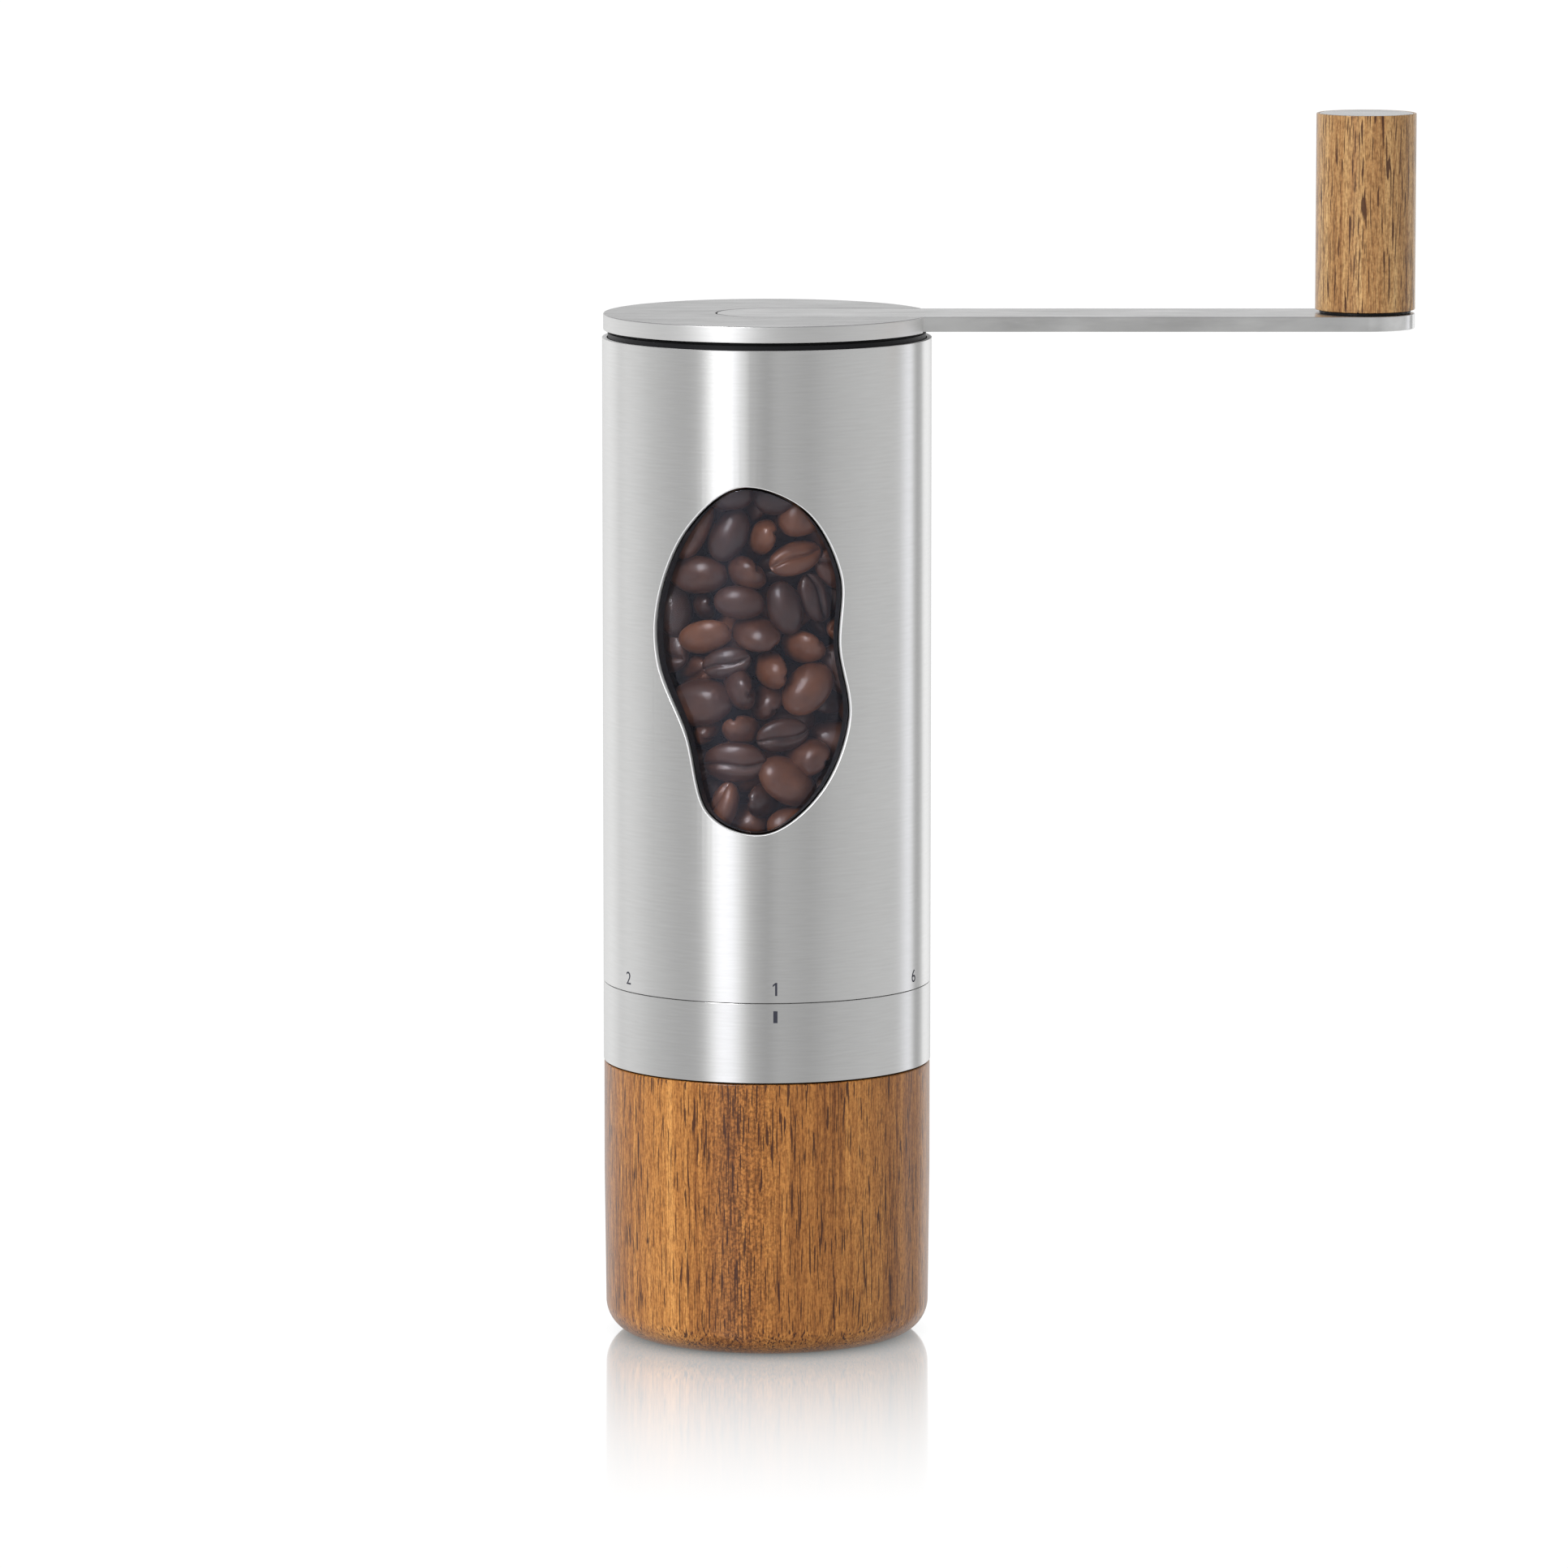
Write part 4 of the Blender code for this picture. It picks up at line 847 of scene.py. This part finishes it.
def settle(count):
    """(middles, axes) of the settled beans."""
    angle = rng.uniform(0, math.tau, count)
    radius = np.sqrt(rng.uniform(0.08, 1, count)) * (WALL_CLEAR - BALL_R)
    height = rng.uniform(HEAP_LOW, HEAP_HIGH, count)
    middle = np.stack([radius * np.cos(angle), radius * np.sin(angle), height], 1)
    axes = random_axes(count)
    sign = np.array([-1.0, 1.0])
    for _ in range(ROUNDS):
        balls = middle[:, None] + axes[:, None] * (sign[None, :, None] * BALL_APART)
        flat = balls.reshape(-1, 3)
        gap = flat[:, None] - flat[None]
        far = np.sqrt((gap**2).sum(2)) + 1e-9
        push = np.clip(2 * BALL_R - far, 0, None) * PUSH
        owner = np.arange(len(flat)) // 2
        push[owner[:, None] == owner[None]] = 0
        moves = (gap / far[..., None] * push[..., None]).sum(1)
        out = np.hypot(flat[:, 0], flat[:, 1])
        past_wall = np.clip(out - (WALL_CLEAR - BALL_R), 0, None)
        past_shaft = np.clip(SHAFT_CLEAR + BALL_R - out, 0, None)
        moves[:, :2] -= flat[:, :2] / out[:, None] * (past_wall - past_shaft)[:, None]
        moves[:, 2] += np.clip(HEAP_LOW + BALL_R - flat[:, 2], 0, None)
        moves[:, 2] -= np.clip(flat[:, 2] - HEAP_HIGH + BALL_R, 0, None)
        moves = moves.reshape(count, 2, 3)
        middle += moves.mean(1)
        axes += (moves[:, 1] - moves[:, 0]) / (2 * BALL_APART) * SWING
        axes /= np.linalg.norm(axes, axis=1, keepdims=True)
    return middle, axes


LIE_DOWN = 0.6  # beans come to rest lying rather than standing
# A bean can be seen if it lies between these two turns from the front, in degrees, and this
# far from the axis, or within this depth of the heap's top.
SEEN_TURNS, SEEN_OUT, SEEN_TOP = (-75, 65), 7 * MM, 11 * MM

middles, axes = settle(BEAN_COUNT)
axes[:, 2] *= LIE_DOWN
axes /= np.linalg.norm(axes, axis=1, keepdims=True)
turn = np.degrees(np.arctan2(middles[:, 0], -middles[:, 1]))
at_window = (turn > SEEN_TURNS[0]) & (turn < SEEN_TURNS[1])
at_window &= np.hypot(middles[:, 0], middles[:, 1]) > SEEN_OUT
seen = at_window | (middles[:, 2] > HEAP_HIGH - SEEN_TOP)
print("kept", int(seen.sum()), "of", BEAN_COUNT, "beans")

# %% Place the beans
def place_beans(middles, axes):
    """Points and faces of all the beans, no two quite alike. Two in three lie with the round
    back to the window, and the others show their crease."""
    points, faces = [], []
    for middle, axis in zip(middles, axes):
        outward = np.array([middle[0], middle[1], 0]) / np.hypot(*middle[:2])
        roll = rng.choice([0, 0, math.pi, math.pi, math.pi, math.pi]) + rng.normal(0, 0.5)
        side = np.cross(axis, outward)
        side /= np.linalg.norm(side)
        inward = np.cross(axis, side)
        back = inward * math.cos(roll) + side * math.sin(roll)
        side = np.cross(back, axis)
        size = rng.normal(0.96, 0.07) * np.array([1.0, rng.normal(0.92, 0.05), rng.normal(0.95, 0.05)])
        turned = (bean_points * size) @ np.stack([axis, side, back])
        start = len(points) * len(bean_points)
        points.append(turned + middle)
        faces += [tuple(start + i for i in face) for face in bean_faces]
    return np.concatenate(points), faces


points, faces = place_beans(middles[seen], axes[seen])
# A bean that reaches past the wall is pressed back to just inside it.
squeeze = np.minimum(1, (SLEEVE_IN - 0.1 * MM) / np.hypot(points[:, 0], points[:, 1]))
points[:, :2] *= squeeze[:, None]
mesh = bpy.data.meshes.new("coffee_beans")
mesh.from_pydata(points.tolist(), [], faces)
mesh.shade_smooth()
beans = bpy.data.objects.new("coffee_beans", mesh)
bpy.context.scene.collection.objects.link(beans)
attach(beans, "mill_body")
print("beans:", len(mesh.polygons), "faces")

# %% [markdown]
# Each bean is roasted a little differently, so its colour comes from a number that Blender
# gives to each separate island of the mesh. A fine wrinkled bump and an oily sheen do the rest.

# %% Roast the beans
roast = Finish("coffee_roast", (0.09, 0.04, 0.022), 0.42)
island = roast.node("ShaderNodeNewGeometry").outputs["Random Per Island"]
blotch = roast.noise(roast.place, 320.0, 1.5, 0.5)
tone = roast.calc("ADD", roast.calc("MULTIPLY", island, 0.6), roast.calc("MULTIPLY", blotch, 0.4))
shades = [(0.15, (0.030, 0.011, 0.006)), (0.5, (0.080, 0.026, 0.011)), (0.85, (0.22, 0.077, 0.030))]
dents = roast.noise(roast.place, 330.0)
wrinkles = roast.noise(roast.place, 1300.0, warp=0.8)
skin = roast.calc("ADD", dents, roast.calc("MULTIPLY", wrinkles, 0.09))
roast.set(base_color=roast.ramp(tone, shades), roughness=roast.between(wrinkles, 0.32, 0.55))
roast.set(coat_weight=0.3, coat_roughness=0.2, specular_ior_level=0.3)
roast.bump(skin, 0.16 * MM)
mesh.materials.append(roast.made)
print("made", roast.made.name)

# %% [markdown]
# ## Dial marks
# Six numbers stand round the foot of the tube, and a short mark on the ring points at the
# chosen grind. They are printed, so they are almost flat: text is turned into a mesh and
# bent round the steel, a hundredth of a millimetre proud of it.

# %% Print the numbers and the mark
DIAL_START = math.radians(3)
DIAL_COUNT = 6
DIGIT_HEIGHT, DIGIT_RISE = 2.2 * MM, 1.1 * MM
DIGIT_SHARE = 0.72  # a figure's height as a share of the font's size
INK_DEPTH = 0.01 * MM
MARK_WIDTH, MARK_HEIGHT, MARK_DROP = 0.7 * MM, 2.0 * MM, 2.2 * MM


def wrap_print(bm, turn, name, body):
    """Bends a flat print (x across, z up) onto the steel at the given angle."""
    for v in bm.verts:
        a = turn + v.co.x / BODY_R
        r = BODY_R - v.co.y
        v.co = (r * math.sin(a), -r * math.cos(a), v.co.z)
    return add_piece(name, bm, body, INK)


def bold_one():
    """The figure 1 of the starting place is set bolder than the rest."""
    outline = [(-0.05, 0), (0.3, 0), (0.3, 2.2), (0.02, 2.2), (-0.45, 1.82), (-0.45, 1.5), (-0.05, 1.8)]
    bm = bmesh.new()
    low = TUBE_LOW + DIGIT_RISE
    face = bm.faces.new([bm.verts.new((x * MM, INK_DEPTH, low + z * MM)) for x, z in outline])
    raised = bmesh.ops.extrude_face_region(bm, geom=[face], use_keep_orig=True)
    fronts = [v for v in raised["geom"] if isinstance(v, bmesh.types.BMVert)]
    bmesh.ops.translate(bm, verts=fronts, vec=(0, -INK_DEPTH, 0))
    return bm


def digit(text):
    curve = bpy.data.curves.new("digit", "FONT")
    curve.body, curve.align_x, curve.size = text, "CENTER", DIGIT_HEIGHT / DIGIT_SHARE
    curve.extrude = INK_DEPTH / 2
    curve.resolution_u = 12
    letter = bpy.data.objects.new("digit", curve)
    mesh = letter.to_mesh()
    bm = bmesh.new()
    bm.from_mesh(mesh)
    letter.to_mesh_clear()
    bpy.data.objects.remove(letter)
    bmesh.ops.remove_doubles(bm, verts=bm.verts, dist=1e-7)
    for v in bm.verts:
        v.co = (v.co.x, INK_DEPTH / 2 - v.co.z, v.co.y + TUBE_LOW + DIGIT_RISE)
    return bm


for i in range(DIAL_COUNT):
    figure = digit(str(i + 1)) if i else bold_one()
    wrap_print(figure, DIAL_START - i * math.tau / DIAL_COUNT, f"dial_{i + 1}", "mill_body")

mark = bmesh.new()
bmesh.ops.create_cube(mark, size=1.0)
bmesh.ops.scale(mark, verts=mark.verts, vec=(MARK_WIDTH, INK_DEPTH, MARK_HEIGHT))
bmesh.ops.translate(mark, verts=mark.verts, vec=(0, INK_DEPTH / 2, RING_HIGH - MARK_DROP))
wrap_print(mark, DIAL_START, "dial_mark", "adjuster")
print("printed", DIAL_COUNT, "numbers and a mark")

# %% [markdown]
# ## Studio
# The mill stands on a glossy white table in a white room. Brushed steel is only as good as
# what it reflects, so the room has bands, as a studio gets them with screens: a tall bright
# window at the front left, pale walls at the sides and a dimmer wall in front. The world
# shader does this with a ramp over the compass direction. Overhead the room is grey, which
# keeps the flat top of the crank from glaring. The camera sees plain white.

# %% Build the room
# Brightness by compass direction in degrees, from -Y (0) towards +X.
ROOM = [
    (-180, 0.74),
    (-164, 0.82),
    (-144, 0.98),
    (-132, 0.92),
    (-127, 0.80),
    (-116, 0.88),
    (-104, 0.82),
    (-88, 0.68),
    (-66, 0.55),
    (-50, 0.50),
    (-45, 0.54),
    (-40, 0.78),
    (-34, 1.16),
    (-24, 1.20),
    (-18, 0.90),
    (-12, 0.58),
    (0, 0.43),
    (8, 0.56),
    (30, 0.49),
    (50, 0.60),
    (80, 0.67),
    (106, 0.68),
    (120, 1.18),
    (125, 0.84),
    (129, 0.43),
    (138, 0.50),
    (144, 1.10),
    (154, 1.04),
    (163, 0.86),
    (171, 0.72),
    (180, 0.64),
]
BRIGHT, BRIGHT_TINT = 1.1, (0.985, 0.99, 1.03)  # panes brighter than this are a little blue
OVERHEAD = (0.36, 0.36, 0.36 * 1.02, 1)
HORIZON = (1.04, 1.04, 1.04, 1)
BACKDROP = 1.05

world = bpy.data.worlds.new("room")
bpy.context.scene.world = world
world.use_nodes = True
world.node_tree.nodes.clear()


def room_node(kind, inputs=None, **settings):
    return add_node(world.node_tree, kind, inputs, **settings)


def room_rise(value, start, end):
    """0 where the value is at the start, rising to 1 at the end."""
    inputs = {"Value": value, "From Min": start, "From Max": end}
    return room_node("ShaderNodeMapRange", inputs).outputs[0]


def room_mix(amount, a, b):
    return room_node("ShaderNodeMix", {0: amount, 6: a, 7: b}, data_type="RGBA").outputs[2]


direction = room_node("ShaderNodeTexCoord").outputs["Generated"]
x, y, z = room_node("ShaderNodeSeparateXYZ", {0: direction}).outputs
front = room_node("ShaderNodeMath", {0: y, 1: -1.0}, operation="MULTIPLY").outputs[0]
compass = room_node("ShaderNodeMath", {0: x, 1: front}, operation="ARCTAN2").outputs[0]
ramp = room_node("ShaderNodeValToRGB", {"Fac": room_rise(compass, -math.pi, math.pi)})
for extra in range(len(ROOM) - 2):
    ramp.color_ramp.elements.new(0.5)
for element, (degrees, bright) in zip(ramp.color_ramp.elements, ROOM):
    element.position = (degrees + 180) / 360
    tint = BRIGHT_TINT if bright > BRIGHT else (1, 1, 1)
    element.color = (*(bright * t for t in tint), 1)
# Behind the mill the white horizon is what the table mirrors towards the camera.
behind, above = room_rise(y, 0.80, 0.90), room_rise(z, 0.0, 0.02)
horizon = room_node("ShaderNodeMath", {0: behind, 1: above}, operation="MULTIPLY").outputs[0]
lit = room_mix(horizon, ramp.outputs[0], HORIZON)
# The ceiling starts a little above the horizon.
shade = room_mix(room_rise(z, 0.20, 0.30), lit, OVERHEAD)
room = room_node("ShaderNodeBackground", {"Color": shade}).outputs[0]
plain = {"Color": (1, 1, 1, 1), "Strength": BACKDROP}
white = room_node("ShaderNodeBackground", plain).outputs[0]
seen_by = room_node("ShaderNodeLightPath").outputs["Is Camera Ray"]
choose = room_node("ShaderNodeMixShader", {0: seen_by, 1: room, 2: white}).outputs[0]
room_node("ShaderNodeOutputWorld", {"Surface": choose})
print("room with", len(ROOM), "stops")

# %% [markdown]
# ## Lamp and table
# A large soft lamp high at the front left gives the wood its shape. The table is a sheet of glowing
# white acrylic, whose polish fades away from the mill, so only the foot of the mill shows in it. The
# glow is the exact complement of the reflection's tint: where the table mirrors the white room, the two
# add up to plain white. Round the foot the glow is darkened in a soft ring, which is a painted contact
# shadow.

# %% Add the lamp and the table
lamp = bpy.data.objects.new("lamp", bpy.data.lights.new("lamp", "AREA"))
lamp.data.shape, lamp.data.size, lamp.data.size_y = "RECTANGLE", 0.5, 0.9
lamp.data.energy = 18
lamp.location = (-0.75, -1.05, 1.0)
towards_mill = Vector((0, 0, 0.08)) - lamp.location
lamp.rotation_euler = towards_mill.to_track_quat("-Z", "Y").to_euler()
bpy.context.scene.collection.objects.link(lamp)

TABLE_R = 4.0
TABLE_WHITE = 1.04
POLISH_REACH = 0.18
POLISH_TINT = (0.87, 0.845, 0.84)
# A painted shadow: the table's glow is darkened in a soft ring where the rounded foot meets the table.
CONTACT_R, CONTACT_WIDTH, CONTACT_DARK = CUP_R - 5.8 * MM, 10 * MM, 0.3

acrylic = Finish("table_acrylic", (1, 1, 1), 0.02)
spot = acrylic.vector("LENGTH", {0: acrylic.place})["Value"]
near = acrylic.calc("SUBTRACT", 1.0, acrylic.calc("DIVIDE", spot, POLISH_REACH), clamp=True)
polish = acrylic.calc("POWER", near, 2.0)
mirrored = acrylic.vector("SCALE", {0: POLISH_TINT, "Scale": polish})[0]
# Painted shadow: the glow is darkened more and more towards the foot's edge.
off_edge = acrylic.calc("DIVIDE", acrylic.calc("SUBTRACT", spot, CONTACT_R), CONTACT_WIDTH)
contact_shadow = acrylic.calc("POWER", acrylic.calc("SUBTRACT", 1.0, off_edge, clamp=True), 2.0)
white = acrylic.calc("SUBTRACT", TABLE_WHITE, acrylic.calc("MULTIPLY", contact_shadow, CONTACT_DARK))
rest = acrylic.vector("SUBTRACT", {0: white, 1: mirrored})[0]
ripple = acrylic.noise(acrylic.place, 30.0, 2.0)
gloss = {"Color": mirrored, "Roughness": acrylic.between(ripple, 0.05, 0.09)}
shine = acrylic.node("ShaderNodeBsdfAnisotropic", gloss).outputs[0]
glow = acrylic.node("ShaderNodeEmission", {"Color": rest}).outputs[0]
both = acrylic.node("ShaderNodeAddShader", {0: shine, 1: glow}).outputs[0]
acrylic.put(acrylic.tree.nodes["Material Output"].inputs["Surface"], both)

bm = bmesh.new()
bmesh.ops.create_circle(bm, cap_ends=True, segments=96, radius=TABLE_R)
mesh = bpy.data.meshes.new("table")
bm.to_mesh(mesh)
bm.free()
table = bpy.data.objects.new("table", mesh)
mesh.materials.append(acrylic.made)
bpy.context.scene.collection.objects.link(table)
table.visible_glossy = False
print("lamp and table placed")
